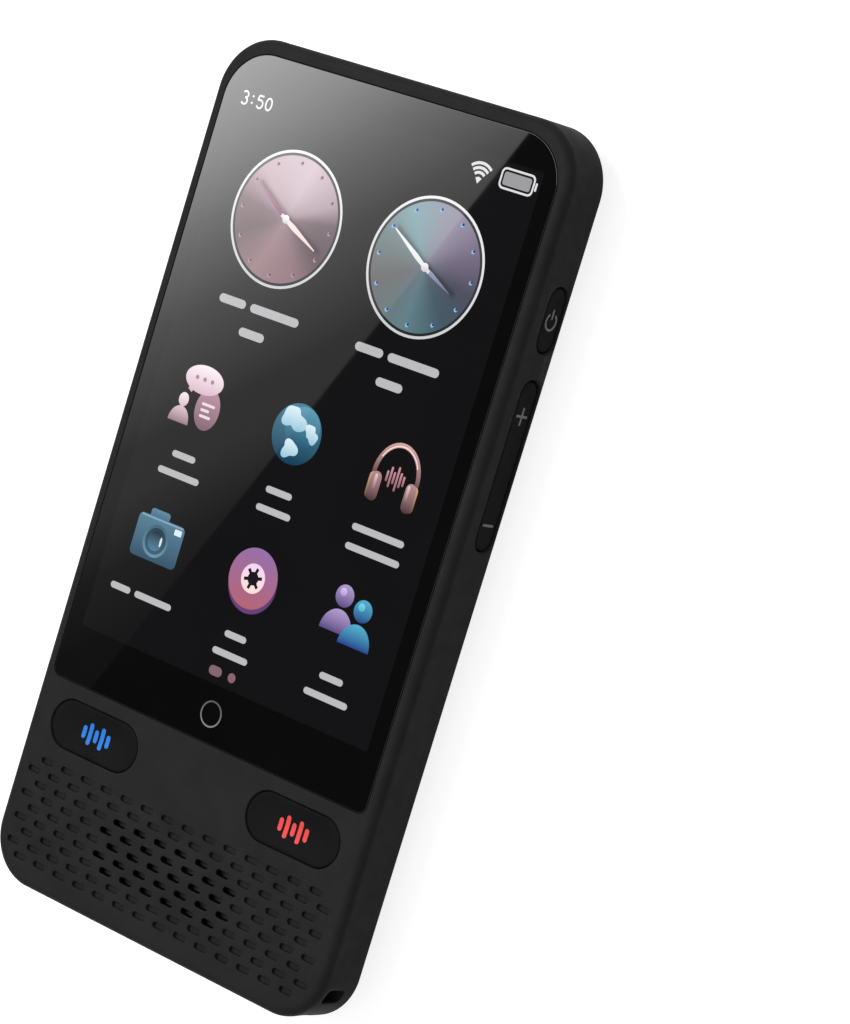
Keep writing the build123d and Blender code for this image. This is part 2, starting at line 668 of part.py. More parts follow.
# ---------------------------------------------------------------- rear cover
with BuildPart() as rear_cover:
    soft_edge(BACK_Z, -1, BACK_EDGE_R, BACK_EDGE_ARC, BACK_EDGE_FLATS)
    # Inner hollow
    extrude(
        hollow_outline(SEAM_Z, LIP_INSET + LIP_THICKNESS),
        amount=FLOOR_Z - SEAM_Z,
        taper=HOLLOW_TAPER,
        mode=Mode.SUBTRACT,
    )
    # Lip that centres the cover in the front housing, open at the keys, tray, port, microphone and post
    lip_x = SIDE_X - LIP_INSET - LIP_THICKNESS / 2
    lip_y = END_Y - LIP_INSET - LIP_THICKNESS / 2
    with BuildSketch(Plane.XY.offset(SEAM_Z)) as lip:
        for across, runs in ((lip_x, LIP_RIGHT_RUNS), (-lip_x, LIP_LEFT_RUNS)):
            for start, end in runs:
                with Locations((across, (start + end) / 2)):
                    Rectangle(LIP_THICKNESS, end - start)
        for along, runs in ((lip_y, LIP_TOP_RUNS), (-lip_y, LIP_BOTTOM_RUNS)):
            for start, end in runs:
                with Locations(((start + end) / 2, along)):
                    Rectangle(end - start, LIP_THICKNESS)
    extrude(amount=LIP_HEIGHT)
    # Clips along both sides of the lip
    for side in (-1, 1):
        with Locations(*[(side * (SIDE_X - LIP_INSET), y, CLIP_Z) for y in CLIP_YS]):
            Box(2 * CLIP_REACH, CLIP_LENGTH, CLIP_HEIGHT)
    # Wavy ribs: one family of shallow grooves with sloped sides, which run out in the soft edge
    with BuildSketch(Plane.XY.offset(BACK_Z + RIB_DEPTH)) as grooves:
        for number in range(RIB_FIRST, RIB_FIRST + RIB_COUNT):
            course = [(x + number * pitch, y) for y, x, pitch in RIB_STATIONS]
            left_side = [(x - RIB_FLOOR_WIDTH / 2, y) for x, y in course]
            right_side = [(x + RIB_FLOOR_WIDTH / 2, y) for x, y in reversed(course)]
            Polygon(*left_side, *right_side, align=None)
    extrude(amount=-2 * RIB_DEPTH, taper=-RIB_SIDE_ANGLE, mode=Mode.SUBTRACT)
    # Camera island: smooth ground round it, raised rim and opening
    extrude(
        island_outline(BACK_Z + RIB_DEPTH, ISLAND_GROOVE + ISLAND_RIM_WIDTH + RIB_CAMERA_MARGIN),
        amount=-RIB_DEPTH,
    )
    extrude(
        island_outline(BACK_Z + ISLAND_RIM_ROOT, ISLAND_GROOVE + ISLAND_RIM_WIDTH + ISLAND_RIM_ROOT),
        amount=RIM_TOP_Z - BACK_Z - ISLAND_RIM_ROOT,
        taper=ISLAND_RIM_TAPER,
    )
    extrude(
        island_outline(RIM_TOP_Z, ISLAND_GROOVE),
        amount=FLOOR_Z - RIM_TOP_Z,
        mode=Mode.SUBTRACT,
    )
    # Posts that carry the charge board
    with BuildSketch(Plane.XY.offset(FLOOR_Z)) as posts:
        with Locations((0, CHARGE_BOARD_Y)):
            with GridLocations(POST_PITCH_X, POST_PITCH_Y, 2, 2):
                Rectangle(POST_SIZE, POST_SIZE)
    extrude(amount=CHARGE_BOARD_TOP_Z - BOARD_THICKNESS - FLOOR_Z)
save(rear_cover, "rear_cover")

# ---------------------------------------------------------------- cover glass, adhesive and display
with BuildPart() as cover_glass:
    extrude(glass_outline(GLASS_BACK_Z), amount=GLASS_THICKNESS)
    chamfer(cover_glass.faces().sort_by(Axis.Z)[-1].edges(), GLASS_BEVEL)
save(cover_glass, "cover_glass")

with BuildPart() as display_adhesive:
    with BuildSketch(Plane.XY.offset(POCKET_Z)) as adhesive_frame:
        add(glass_outline(0, -ADHESIVE_INSET))
        inner_edge = span_rectangle(
            0,
            OPENING_WIDTH + 2 * ADHESIVE_SETBACK,
            OPENING_LOW_Y - ADHESIVE_SETBACK,
            OPENING_HIGH_Y + ADHESIVE_SETBACK,
            OPENING_CORNER,
        )
        add(inner_edge, mode=Mode.SUBTRACT)
    extrude(amount=ADHESIVE_THICKNESS)
save(display_adhesive, "display_adhesive")

with BuildPart() as display_panel:
    extrude(
        span_rectangle(PANEL_BACK_Z, PANEL_WIDTH, PANEL_LOW_Y, PANEL_HIGH_Y, PANEL_CORNER),
        amount=PANEL_THICKNESS,
    )
    # The rear frame of the panel steps in behind the picture area
    with BuildSketch(Plane.XY.offset(PANEL_BACK_Z)) as rear_step:
        with Locations((0, PANEL_Y)):
            Rectangle(PANEL_WIDTH - 2 * PANEL_RIM_SIDE, PANEL_LENGTH - 2 * PANEL_RIM_END)
    extrude(amount=PANEL_STEP, mode=Mode.SUBTRACT)
save(display_panel, "display_panel")

display_flex = flat_flex(DISPLAY_FLEX_X, DISPLAY_FLEX_WIDTH, DISPLAY_FLEX_ROUTE)
save(display_flex, "display_flex")

# ---------------------------------------------------------------- mid frame
with BuildPart() as mid_frame:
    with BuildSketch(Plane.XY.offset(FRAME_BACK_Z)) as frame_plate:
        add(span_rectangle(0, 2 * FRAME_HALF_WIDTH, FRAME_LOW_Y, FRAME_HIGH_Y, FRAME_CORNER))
        with Locations((0, (FRAME_LOW_Y + TONGUE_LOW_Y) / 2)):
            Rectangle(2 * TONGUE_HALF_WIDTH, FRAME_LOW_Y - TONGUE_LOW_Y)
        with Locations((DISPLAY_FLEX_X, FRAME_LOW_Y + FLEX_SLOT_RISE)):
            Rectangle(DISPLAY_FLEX_WIDTH + 2 * FLEX_SLOT_MARGIN, FLEX_SLOT_LENGTH, mode=Mode.SUBTRACT)
    extrude(amount=FRAME_THICKNESS)
    # Lightening windows pressed between the battery and the display
    with BuildSketch(Plane.XY.offset(FRAME_BACK_Z)) as windows:
        with Locations((BATTERY_X, BATTERY_Y)):
            with GridLocations(0, FRAME_WINDOW_PITCH, 1, 2):
                Rectangle(FRAME_WINDOW_WIDTH, FRAME_WINDOW_LENGTH)
        chamfer(windows.vertices(), FRAME_WINDOW_CORNER)
    extrude(amount=FRAME_THICKNESS, mode=Mode.SUBTRACT)
    # Standoffs for the main board
    extrude(
        screw_outlines(BOARD_Z + BOARD_THICKNESS, BOARD_SCREWS, BOSS_R),
        amount=FRAME_BACK_Z - BOARD_Z - BOARD_THICKNESS,
    )
    # Downturned tab that backs the side switch board, with the fulcrum of the volume rocker
    with Locations((SIDE_BOARD_X - SIDE_TAB_THICKNESS / 2, SIDE_BOARD_Y, SIDE_BOARD_Z)):
        Box(SIDE_TAB_THICKNESS, SIDE_BOARD_LENGTH, SIDE_BOARD_HEIGHT)
    fulcrum_reach = VOLUME_PIVOT_X - PIVOT_R - PIVOT_GAP - SIDE_BOARD_X
    with Locations((SIDE_BOARD_X + fulcrum_reach / 2, VOLUME_Y, SIDE_KEY_Z)):
        Box(fulcrum_reach, FULCRUM_SIZE, FULCRUM_SIZE)
    extrude(
        screw_outlines(FRAME_BACK_Z, HOUSING_SCREWS, CLEARANCE_HOLE_R),
        amount=FRAME_THICKNESS,
        mode=Mode.SUBTRACT,
    )
    extrude(screw_outlines(BOARD_Z, BOARD_SCREWS, SCREW_R), amount=FRAME_TOP_Z - BOARD_Z, mode=Mode.SUBTRACT)
save(mid_frame, "mid_frame")

# ---------------------------------------------------------------- talk keys and their switches
for side, key_name in ((-1, "left_talk_button"), (1, "right_talk_button")):
    with BuildPart() as talk_button:
        extrude(talk_outline(TALK_FLANGE_TOP_Z, side), amount=TALK_TOP_Z - TALK_FLANGE_TOP_Z)
        chamfer(talk_button.faces().sort_by(Axis.Z)[-1].edges(), TALK_EDGE)
        # Finger dish with sloped sides
        extrude(
            talk_outline(TALK_TOP_Z, side, -DISH_MARGIN),
            amount=-DISH_DEPTH,
            taper=DISH_TAPER,
            mode=Mode.SUBTRACT,
        )
        # Flange that keeps the key behind the face, and the plunger over its switch
        with BuildSketch(Plane.XY.offset(TALK_FLANGE_BACK_Z)) as talk_flange:
            with Locations((side * TALK_X, TALK_Y)):
                Rectangle(TALK_LENGTH + 2 * TALK_FLANGE, TALK_WIDTH + 2 * TALK_FLANGE)
            chamfer(talk_flange.vertices(), TALK_FLANGE_CORNER)
        extrude(amount=TALK_FLANGE_THICKNESS)
        with BuildSketch(Plane.XY.offset(TALK_PLUNGER_Z)) as plunger:
            with Locations((side * TALK_X, TALK_Y)):
                RegularPolygon(TALK_PLUNGER_R, TALK_PLUNGER_SIDES)
        extrude(amount=TALK_FLANGE_BACK_Z - TALK_PLUNGER_Z)
    save(talk_button, key_name)

with BuildPart() as talk_switch_board:
    with BuildSketch(Plane.XY.offset(TALK_BOARD_Z)) as talk_board_outline:
        with Locations((0, TALK_BOARD_Y)):
            Rectangle(TALK_BOARD_LENGTH, TALK_BOARD_WIDTH)
        add(screw_outlines(0, TALK_BOARD_SCREWS, CLEARANCE_HOLE_R), mode=Mode.SUBTRACT)
    extrude(amount=TALK_BOARD_THICKNESS)
save(talk_switch_board, "talk_switch_board")

with BuildPart() as talk_switches:
    with BuildSketch(Plane.XY.offset(TALK_BOARD_TOP_Z)) as domes:
        with Locations((-TALK_X, TALK_Y), (TALK_X, TALK_Y)):
            RegularPolygon(DOME_R, DOME_SIDES)
    extrude(amount=DOME_HEIGHT, taper=DOME_TAPER)
save(talk_switches, "talk_switches")

# ---------------------------------------------------------------- side keys and their switches
with BuildPart() as power_button:
    extrude(
        side_key_outline(SIDE_FACE_X, POWER_Y, POWER_LENGTH, -SIDE_KEY_GAP),
        amount=POWER_FLANGE_X - SIDE_FACE_X,
    )
    chamfer(power_button.faces().sort_by(Axis.X)[-1].edges(), SIDE_KEY_EDGE)
    with BuildSketch(Plane.YZ.offset(POWER_FLANGE_X)) as power_flange:
        with Locations((POWER_Y, SIDE_KEY_Z)):
            Rectangle(POWER_LENGTH + 2 * POWER_FLANGE_REACH, SIDE_CAP_WIDTH)
    extrude(amount=-SIDE_FLANGE_THICKNESS)
    with BuildSketch(Plane.YZ.offset(POWER_TIP_X)) as power_plunger:
        with Locations((POWER_Y, SIDE_KEY_Z)):
            Rectangle(SIDE_PLUNGER_SIZE, SIDE_PLUNGER_SIZE)
    extrude(amount=POWER_FLANGE_X - SIDE_FLANGE_THICKNESS - POWER_TIP_X)
save(power_button, "power_button")

with BuildPart() as volume_rocker:
    extrude(
        side_key_outline(SIDE_FACE_X, VOLUME_Y, VOLUME_LENGTH, -SIDE_KEY_GAP),
        amount=VOLUME_FLANGE_X - SIDE_FACE_X,
    )
    chamfer(volume_rocker.faces().sort_by(Axis.X)[-1].edges(), SIDE_KEY_EDGE)
    with BuildSketch(Plane.YZ.offset(VOLUME_FLANGE_X)) as volume_flange:
        with Locations((VOLUME_Y, SIDE_KEY_Z)):
            Rectangle(VOLUME_LENGTH + 2 * VOLUME_FLANGE_REACH, SIDE_CAP_WIDTH)
    extrude(amount=VOLUME_PIVOT_X - VOLUME_FLANGE_X)
    # Pivot bead in the middle, and a plunger over each switch
    with BuildSketch(Plane.XY.offset(SIDE_KEY_Z - SIDE_CAP_WIDTH / 2)) as pivot_bead:
        with Locations((VOLUME_PIVOT_X, VOLUME_Y)):
            RegularPolygon(PIVOT_R, PIVOT_SIDES)
    extrude(amount=SIDE_CAP_WIDTH)
    with BuildSketch(Plane.YZ.offset(VOLUME_TIP_X)) as volume_plungers:
        with Locations((VOLUME_Y, SIDE_KEY_Z)):
            with GridLocations(2 * VOLUME_SWITCH_OFFSET, 0, 2, 1):
                Rectangle(SIDE_PLUNGER_SIZE, SIDE_PLUNGER_SIZE)
    extrude(amount=VOLUME_PIVOT_X - VOLUME_TIP_X)
save(volume_rocker, "volume_rocker")

with BuildPart() as side_switch_board:
    with BuildSketch(Plane.YZ.offset(SIDE_BOARD_X)) as side_board_outline:
        with Locations((SIDE_BOARD_Y, SIDE_BOARD_Z)):
            Rectangle(SIDE_BOARD_LENGTH, SIDE_BOARD_HEIGHT)
        with Locations((VOLUME_Y, SIDE_KEY_Z)):
            Rectangle(FULCRUM_HOLE, FULCRUM_HOLE, mode=Mode.SUBTRACT)
    extrude(amount=SIDE_BOARD_THICKNESS)
save(side_switch_board, "side_switch_board")

switch_places = [(y, SIDE_KEY_Z) for y in SIDE_SWITCH_YS]
with BuildPart() as side_switches:
    with BuildSketch(Plane.YZ.offset(SWITCH_SEAT_X)) as switch_bodies:
        with Locations(*switch_places):
            Rectangle(SWITCH_LENGTH, SWITCH_WIDTH)
    extrude(amount=SWITCH_HEIGHT - SWITCH_STEM_HEIGHT)
    with BuildSketch(Plane.YZ.offset(SWITCH_FACE_X - SWITCH_STEM_HEIGHT)) as switch_stems:
        with Locations(*switch_places):
            Rectangle(SWITCH_STEM_LENGTH, SWITCH_STEM_WIDTH)
    extrude(amount=SWITCH_STEM_HEIGHT)
save(side_switches, "side_switches")

# ---------------------------------------------------------------- card tray and its socket
with BuildPart() as card_tray:
    with BuildSketch(tray_plane(TRAY_FACE_X)) as tray_cap:
        Rectangle(TRAY_CAP_LENGTH, TRAY_CAP_HEIGHT)
    extrude(amount=-TRAY_CAP_THICKNESS)
    chamfer(card_tray.faces().sort_by(Axis.X)[0].edges(), TRAY_CAP_EDGE)
    with BuildSketch(tray_plane(TRAY_BODY_X)) as tray_body:
        Rectangle(TRAY_WIDTH, TRAY_THICKNESS)
    extrude(amount=-TRAY_REACH)
    # Pocket for the card, with a window for its contacts
    with BuildSketch(Plane.XY.offset(TRAY_TOP_Z)) as card_pocket:
        with Locations((CARD_X, TRAY_Y)):
            Rectangle(CARD_LENGTH, CARD_WIDTH)
    extrude(amount=-CARD_THICKNESS, mode=Mode.SUBTRACT)
    with BuildSketch(Plane.XY.offset(TRAY_TOP_Z)) as contact_window:
        with Locations((CARD_X, TRAY_Y)):
            Rectangle(CARD_LENGTH - 2 * CONTACT_MARGIN, CARD_WIDTH - 2 * CONTACT_MARGIN)
    extrude(amount=-TRAY_THICKNESS, mode=Mode.SUBTRACT)
save(card_tray, "card_tray")

with BuildPart() as card_socket:
    with BuildSketch(Plane.XY.offset(SOCKET_LOW_Z)) as socket_outline:
        with Locations(((SOCKET_LOW_X + SOCKET_HIGH_X) / 2, TRAY_Y)):
            Rectangle(SOCKET_HIGH_X - SOCKET_LOW_X, TRAY_WIDTH + 2 * SOCKET_SIDE_WALL)
    extrude(amount=BOARD_Z - SOCKET_LOW_Z)
    with BuildSketch(tray_plane(SOCKET_LOW_X)) as socket_mouth:
        Rectangle(TRAY_WIDTH + 2 * SOCKET_SIDE_GAP, TRAY_THICKNESS + 2 * SOCKET_LIFT_GAP)
    extrude(amount=-SOCKET_DEPTH, mode=Mode.SUBTRACT)
save(card_socket, "card_socket")

# ---------------------------------------------------------------- loudspeaker group
with BuildPart() as loudspeaker:
    with BuildSketch(Plane.XY.offset(SPEAKER_STEP_Z)) as speaker_front:
        with Locations((0, (SPEAKER_HIGH_Y + SPEAKER_LOW_Y) / 2)):
            Rectangle(SPEAKER_LENGTH, SPEAKER_HIGH_Y - SPEAKER_LOW_Y)
    extrude(amount=CEILING_Z - SPEAKER_STEP_Z)
    with BuildSketch(Plane.XY.offset(SPEAKER_BACK_Z)) as speaker_magnet:
        with Locations((0, (SPEAKER_HIGH_Y + SPEAKER_STEP_Y) / 2)):
            Rectangle(SPEAKER_LENGTH, SPEAKER_HIGH_Y - SPEAKER_STEP_Y)
    extrude(amount=SPEAKER_STEP_Z - SPEAKER_BACK_Z)
    # Cone seat with the raised dome of the cone in it
    with BuildSketch(Plane.XY.offset(CEILING_Z)) as cone_seat:
        with Locations((0, GRILLE_Y)):
            Rectangle(CONE_LENGTH, CONE_WIDTH)
        chamfer(cone_seat.vertices(), CONE_CORNER)
    extrude(amount=-CONE_DEPTH, mode=Mode.SUBTRACT)
    with BuildSketch(Plane.XY.offset(CEILING_Z - CONE_DEPTH)) as cone_dome:
        with Locations((0, GRILLE_Y)):
            Rectangle(CONE_LENGTH - 2 * CONE_SURROUND, CONE_WIDTH - 2 * CONE_SURROUND)
        chamfer(cone_dome.vertices(), CONE_CORNER)
    extrude(amount=CONE_DEPTH / 2)
save(loudspeaker, "loudspeaker")

with BuildPart() as speaker_gasket:
    with BuildSketch(Plane.XY.offset(CEILING_Z)) as gasket_frame:
        with Locations((0, GRILLE_Y)):
            Rectangle(CHAMBER_LENGTH - 2 * MESH_GAP, CHAMBER_WIDTH - 2 * MESH_GAP)
            Rectangle(GASKET_OPENING_LENGTH, GASKET_OPENING_WIDTH, mode=Mode.SUBTRACT)
    extrude(amount=CHAMBER_DEPTH - MESH_THICKNESS)
save(speaker_gasket, "speaker_gasket")

with BuildPart() as speaker_mesh:
    with BuildSketch(Plane.XY.offset(CHAMBER_Z - MESH_THICKNESS)) as mesh_outline:
        with Locations((0, GRILLE_Y)):
            Rectangle(CHAMBER_LENGTH - 2 * MESH_GAP, CHAMBER_WIDTH - 2 * MESH_GAP)
    extrude(amount=MESH_THICKNESS)
save(speaker_mesh, "speaker_mesh")

with BuildPart() as speaker_pad:
    with BuildSketch(Plane.XY.offset(CHARGE_BOARD_TOP_Z)) as pad_outline:
        with Locations((0, (SPEAKER_HIGH_Y + SPEAKER_STEP_Y) / 2)):
            Rectangle(PAD_LENGTH, PAD_WIDTH)
    extrude(amount=SPEAKER_BACK_Z - CHARGE_BOARD_TOP_Z)
save(speaker_pad, "speaker_pad")

# ---------------------------------------------------------------- charging port, its board and microphones
with BuildPart() as usb_c_socket:
    with BuildSketch(end_plane(USB_FACE_Y, 0, USB_Z)) as socket_shell:
        SlotOverall(USB_WIDTH, USB_HEIGHT)
    extrude(amount=-USB_LENGTH)
    with BuildSketch(end_plane(USB_FACE_Y, 0, USB_Z)) as socket_bore:
        SlotOverall(USB_WIDTH - 2 * USB_WALL, USB_HEIGHT - 2 * USB_WALL)
    extrude(amount=USB_BACK_WALL - USB_LENGTH, mode=Mode.SUBTRACT)
    with BuildSketch(end_plane(USB_FACE_Y + USB_TONGUE_SETBACK, 0, USB_Z)) as socket_tongue:
        Rectangle(USB_TONGUE_WIDTH, USB_TONGUE_THICKNESS)
    extrude(amount=USB_BACK_WALL + USB_TONGUE_SETBACK - USB_LENGTH)
save(usb_c_socket, "usb_c_socket")

with BuildPart() as charge_board:
    with BuildSketch(Plane.XY.offset(CHARGE_BOARD_TOP_Z - BOARD_THICKNESS)) as charge_outline:
        with Locations((0, CHARGE_BOARD_Y)):
            Rectangle(CHARGE_BOARD_LENGTH, CHARGE_BOARD_WIDTH)
        with Locations((CHARGE_TAB_X, CHARGE_BOARD_Y + (CHARGE_BOARD_WIDTH - CHARGE_TAB_WIDTH) / 2)):
            Rectangle(CHARGE_TAB_LENGTH, CHARGE_TAB_WIDTH)
    extrude(amount=BOARD_THICKNESS)
save(charge_board, "charge_board")

with BuildPart() as microphones:
    with BuildSketch(Plane.XY.offset(CHARGE_BOARD_TOP_Z)) as end_mic:
        with Locations((END_MIC_X, WALL + MIC_GAP + END_MIC_WIDTH / 2 - END_Y)):
            Rectangle(MIC_LENGTH, END_MIC_WIDTH)
    extrude(amount=END_MIC_HEIGHT)
    with BuildSketch(Plane.YZ.offset(MIC_GAP - INNER_WALL_X)) as side_mic:
        with Locations((SIDE_MIC_Y, SIDE_MIC_Z + SIDE_MIC_RISE)):
            Rectangle(MIC_LENGTH, SIDE_MIC_WIDTH)
    extrude(amount=SIDE_MIC_THICKNESS)
save(microphones, "microphones")

link_flex = flat_flex(LINK_FLEX_X, LINK_FLEX_WIDTH, LINK_FLEX_ROUTE)
save(link_flex, "link_flex")

# ---------------------------------------------------------------- rear camera
with BuildPart() as camera_window:
    extrude(island_outline(0), amount=FLOOR_Z)
    chamfer(camera_window.faces().sort_by(Axis.Z)[0].edges(), WINDOW_EDGE)
    # Flange that seats the plate on the cover's floor
    with BuildSketch(Plane.XY.offset(FLOOR_Z)) as seat_flange:
        with Locations((ISLAND_X, ISLAND_Y)):
            Rectangle(ISLAND_WIDTH + 2 * WINDOW_FLANGE, ISLAND_LENGTH + 2 * WINDOW_FLANGE)
        chamfer(seat_flange.vertices(), WINDOW_FLANGE_CORNER)
    extrude(amount=WINDOW_FLANGE_THICKNESS)
    # Recess for the ring and the pane, and the hole for the barrel
    extrude(ring_outline(0, -RING_GAP), amount=RING_DEPTH, mode=Mode.SUBTRACT)
    with BuildSketch(Plane.XY) as barrel_hole:
        with Locations((ISLAND_X, CAMERA_Y)):
            RegularPolygon(BARREL_R + BARREL_GAP, BARREL_SIDES)
    extrude(amount=WINDOW_BACK_Z, mode=Mode.SUBTRACT)
save(camera_window, "camera_window")

with BuildPart() as camera_ring:
    extrude(ring_outline(0), amount=RING_DEPTH)
    extrude(ring_outline(0, RING_LINE), amount=RING_DEPTH, mode=Mode.SUBTRACT)
save(camera_ring, "camera_ring")

with BuildPart() as camera_pane:
    extrude(ring_outline(RING_DEPTH, RING_LINE + PANE_GAP), amount=-PANE_DEPTH)
    with BuildSketch(Plane.XY) as lens_hole:
        with Locations((ISLAND_X, CAMERA_Y)):
            Circle(LENS_R + LENS_GAP)
    extrude(amount=RING_DEPTH, mode=Mode.SUBTRACT)
save(camera_pane, "camera_pane")

with BuildPart() as camera_lens:
    with BuildSketch(Plane.XY.offset(LENS_FRONT_Z)) as lens_disc:
        with Locations((ISLAND_X, CAMERA_Y)):
            Circle(LENS_R)
    extrude(amount=LENS_BACK_Z - LENS_FRONT_Z)
    chamfer(camera_lens.faces().sort_by(Axis.Z)[0].edges(), LENS_EDGE)
save(camera_lens, "camera_lens")

with BuildPart() as camera_module:
    with BuildSketch(Plane.XY.offset(LENS_BACK_Z)) as barrel:
        with Locations((ISLAND_X, CAMERA_Y)):
            RegularPolygon(BARREL_R, BARREL_SIDES)
    extrude(amount=MODULE_Z - LENS_BACK_Z)
    with BuildSketch(Plane.XY.offset(MODULE_Z)) as module_base:
        with Locations((ISLAND_X, CAMERA_Y)):
            Rectangle(MODULE_WIDTH, MODULE_WIDTH)
    extrude(amount=BOARD_Z - MODULE_Z)
save(camera_module, "camera_module")

with BuildPart() as camera_seal:
    with BuildSketch(Plane.XY.offset(WINDOW_BACK_Z)) as seal_frame:
        with Locations((ISLAND_X, CAMERA_Y)):
            Rectangle(MODULE_WIDTH, MODULE_WIDTH)
            Rectangle(2 * (BARREL_R + SEAL_GAP), 2 * (BARREL_R + SEAL_GAP), mode=Mode.SUBTRACT)
    extrude(amount=MODULE_Z - WINDOW_BACK_Z)
save(camera_seal, "camera_seal")

# ---------------------------------------------------------------- main board and what is on it
with BuildPart() as main_board:
    with BuildSketch(Plane.XY.offset(BOARD_Z)) as board_outline:
        Polygon(*BOARD_CORNERS, align=None)
        add(screw_outlines(0, BOARD_SCREWS, CLEARANCE_HOLE_R), mode=Mode.SUBTRACT)
    extrude(amount=BOARD_THICKNESS)
save(main_board, "main_board")

with BuildPart() as shield_can:
    with BuildSketch(Plane.XY.offset(BOARD_Z - SHIELD_HEIGHT)) as shield_outline:
        with Locations((SHIELD_X, SHIELD_Y)):
            Rectangle(SHIELD_WIDTH, SHIELD_LENGTH)
    extrude(amount=SHIELD_HEIGHT)
    with BuildSketch(Plane.XY.offset(BOARD_Z)) as shield_hollow:
        with Locations((SHIELD_X, SHIELD_Y)):
            Rectangle(SHIELD_WIDTH - 2 * SHIELD_WALL, SHIELD_LENGTH - 2 * SHIELD_WALL)
    extrude(amount=SHIELD_WALL - SHIELD_HEIGHT, mode=Mode.SUBTRACT)
save(shield_can, "shield_can")

with BuildPart() as processor:
    with BuildSketch(Plane.XY.offset(BOARD_Z)) as processor_outline:
        with Locations((SHIELD_X, PROCESSOR_Y)):
            Rectangle(PROCESSOR_SIZE, PROCESSOR_SIZE)
    extrude(amount=-PROCESSOR_HEIGHT)
save(processor, "processor")

with BuildPart() as battery:
    with BuildSketch(Plane.XY.offset(FRAME_BACK_Z - BATTERY_THICKNESS)) as battery_outline:
        with Locations((BATTERY_X, BATTERY_Y)):
            Rectangle(BATTERY_WIDTH, BATTERY_LENGTH)
    extrude(amount=BATTERY_THICKNESS)
    chamfer(battery.edges().filter_by(Axis.Y), BATTERY_CORNER)
save(battery, "battery")

battery_flex_route = [(BATTERY_Y + BATTERY_LENGTH / 2, BOARD_FLEX_Z), (BATTERY_FLEX_END_Y, BOARD_FLEX_Z)]
battery_flex = flat_flex(BATTERY_FLEX_X, BATTERY_FLEX_WIDTH, battery_flex_route)
save(battery_flex, "battery_flex")

# ---------------------------------------------------------------- parts on the rear cover's floor
with BuildPart() as vibration_motor:
    with BuildSketch(Plane.XY.offset(FLOOR_Z)) as motor_outline:
        with Locations((MOTOR_X, MOTOR_Y)):
            RegularPolygon(MOTOR_R, MOTOR_SIDES)
    extrude(amount=MOTOR_THICKNESS)
save(vibration_motor, "vibration_motor")

with BuildPart() as antenna_flex:
    with BuildSketch(Plane.XY.offset(FLOOR_Z)) as antenna_outline:
        with Locations((ANTENNA_X, ANTENNA_Y)):
            Rectangle(ANTENNA_LENGTH, ANTENNA_WIDTH)
            with GridLocations(ANTENNA_WINDOW_PITCH, 0, 2, 1):
                Rectangle(ANTENNA_WINDOW_LENGTH, ANTENNA_WINDOW_WIDTH, mode=Mode.SUBTRACT)
    extrude(amount=FLEX_THICKNESS)
save(antenna_flex, "antenna_flex")

# ---------------------------------------------------------------- screws
screw_seats = [(x, y, FRAME_BACK_Z) for x, y in HOUSING_SCREWS]
screw_seats += [(x, y, BOARD_Z) for x, y in BOARD_SCREWS]
screw_seats += [(x, y, TALK_BOARD_Z) for x, y in TALK_BOARD_SCREWS]
with BuildPart() as chassis_screws:
    for x, y, seat_z in screw_seats:
        extrude(screw_outlines(seat_z, [(x, y)], SCREW_R - SCREW_PLAY), amount=SCREW_LENGTH)
        extrude(screw_outlines(seat_z, [(x, y)], SCREW_HEAD_R), amount=-SCREW_HEAD_HEIGHT)
save(chassis_screws, "chassis_screws")
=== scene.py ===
import json
from math import pi, radians

import bmesh
import bpy
import numpy as np
from mathutils import Matrix, Vector
from mathutils.geometry import delaunay_2d_cdt

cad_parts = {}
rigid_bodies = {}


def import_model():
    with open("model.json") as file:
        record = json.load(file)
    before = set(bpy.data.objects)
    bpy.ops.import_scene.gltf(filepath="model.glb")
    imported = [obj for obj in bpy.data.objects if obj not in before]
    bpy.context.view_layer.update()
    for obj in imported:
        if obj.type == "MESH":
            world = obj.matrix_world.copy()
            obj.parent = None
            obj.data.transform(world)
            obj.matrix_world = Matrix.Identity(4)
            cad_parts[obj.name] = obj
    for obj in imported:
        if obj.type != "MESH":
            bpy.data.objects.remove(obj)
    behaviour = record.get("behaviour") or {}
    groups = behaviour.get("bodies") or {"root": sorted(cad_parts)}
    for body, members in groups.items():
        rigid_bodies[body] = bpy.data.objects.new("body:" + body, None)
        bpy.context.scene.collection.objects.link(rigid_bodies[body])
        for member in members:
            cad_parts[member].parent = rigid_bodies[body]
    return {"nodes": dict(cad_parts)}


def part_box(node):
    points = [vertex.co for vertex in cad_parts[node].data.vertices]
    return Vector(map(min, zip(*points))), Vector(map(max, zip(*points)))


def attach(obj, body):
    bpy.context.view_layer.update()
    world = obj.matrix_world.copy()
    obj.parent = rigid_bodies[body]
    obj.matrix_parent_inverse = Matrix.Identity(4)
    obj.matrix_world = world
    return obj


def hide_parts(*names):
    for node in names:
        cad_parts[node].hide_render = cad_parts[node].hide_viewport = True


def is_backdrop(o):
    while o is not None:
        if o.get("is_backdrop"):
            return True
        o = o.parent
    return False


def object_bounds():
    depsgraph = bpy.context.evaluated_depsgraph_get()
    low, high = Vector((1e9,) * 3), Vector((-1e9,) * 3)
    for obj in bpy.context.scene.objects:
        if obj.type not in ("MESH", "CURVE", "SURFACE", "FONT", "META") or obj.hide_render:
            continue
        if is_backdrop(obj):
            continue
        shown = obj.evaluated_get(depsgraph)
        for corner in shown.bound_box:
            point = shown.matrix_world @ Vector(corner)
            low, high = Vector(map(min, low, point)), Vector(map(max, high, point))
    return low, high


for start_object in list(bpy.data.objects):
    bpy.data.objects.remove(start_object)
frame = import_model()
CAD_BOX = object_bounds()

bl_info = {
    "name": "Handheld translator",
    "version": (1, 0, 0),
    "blender": (4, 5, 0),
    "location": "View3D > Sidebar > Handset",
    "description": "Builds the moulded shells, glass, keys, camera and finishes of a handheld translator",
    "category": "Object",
}

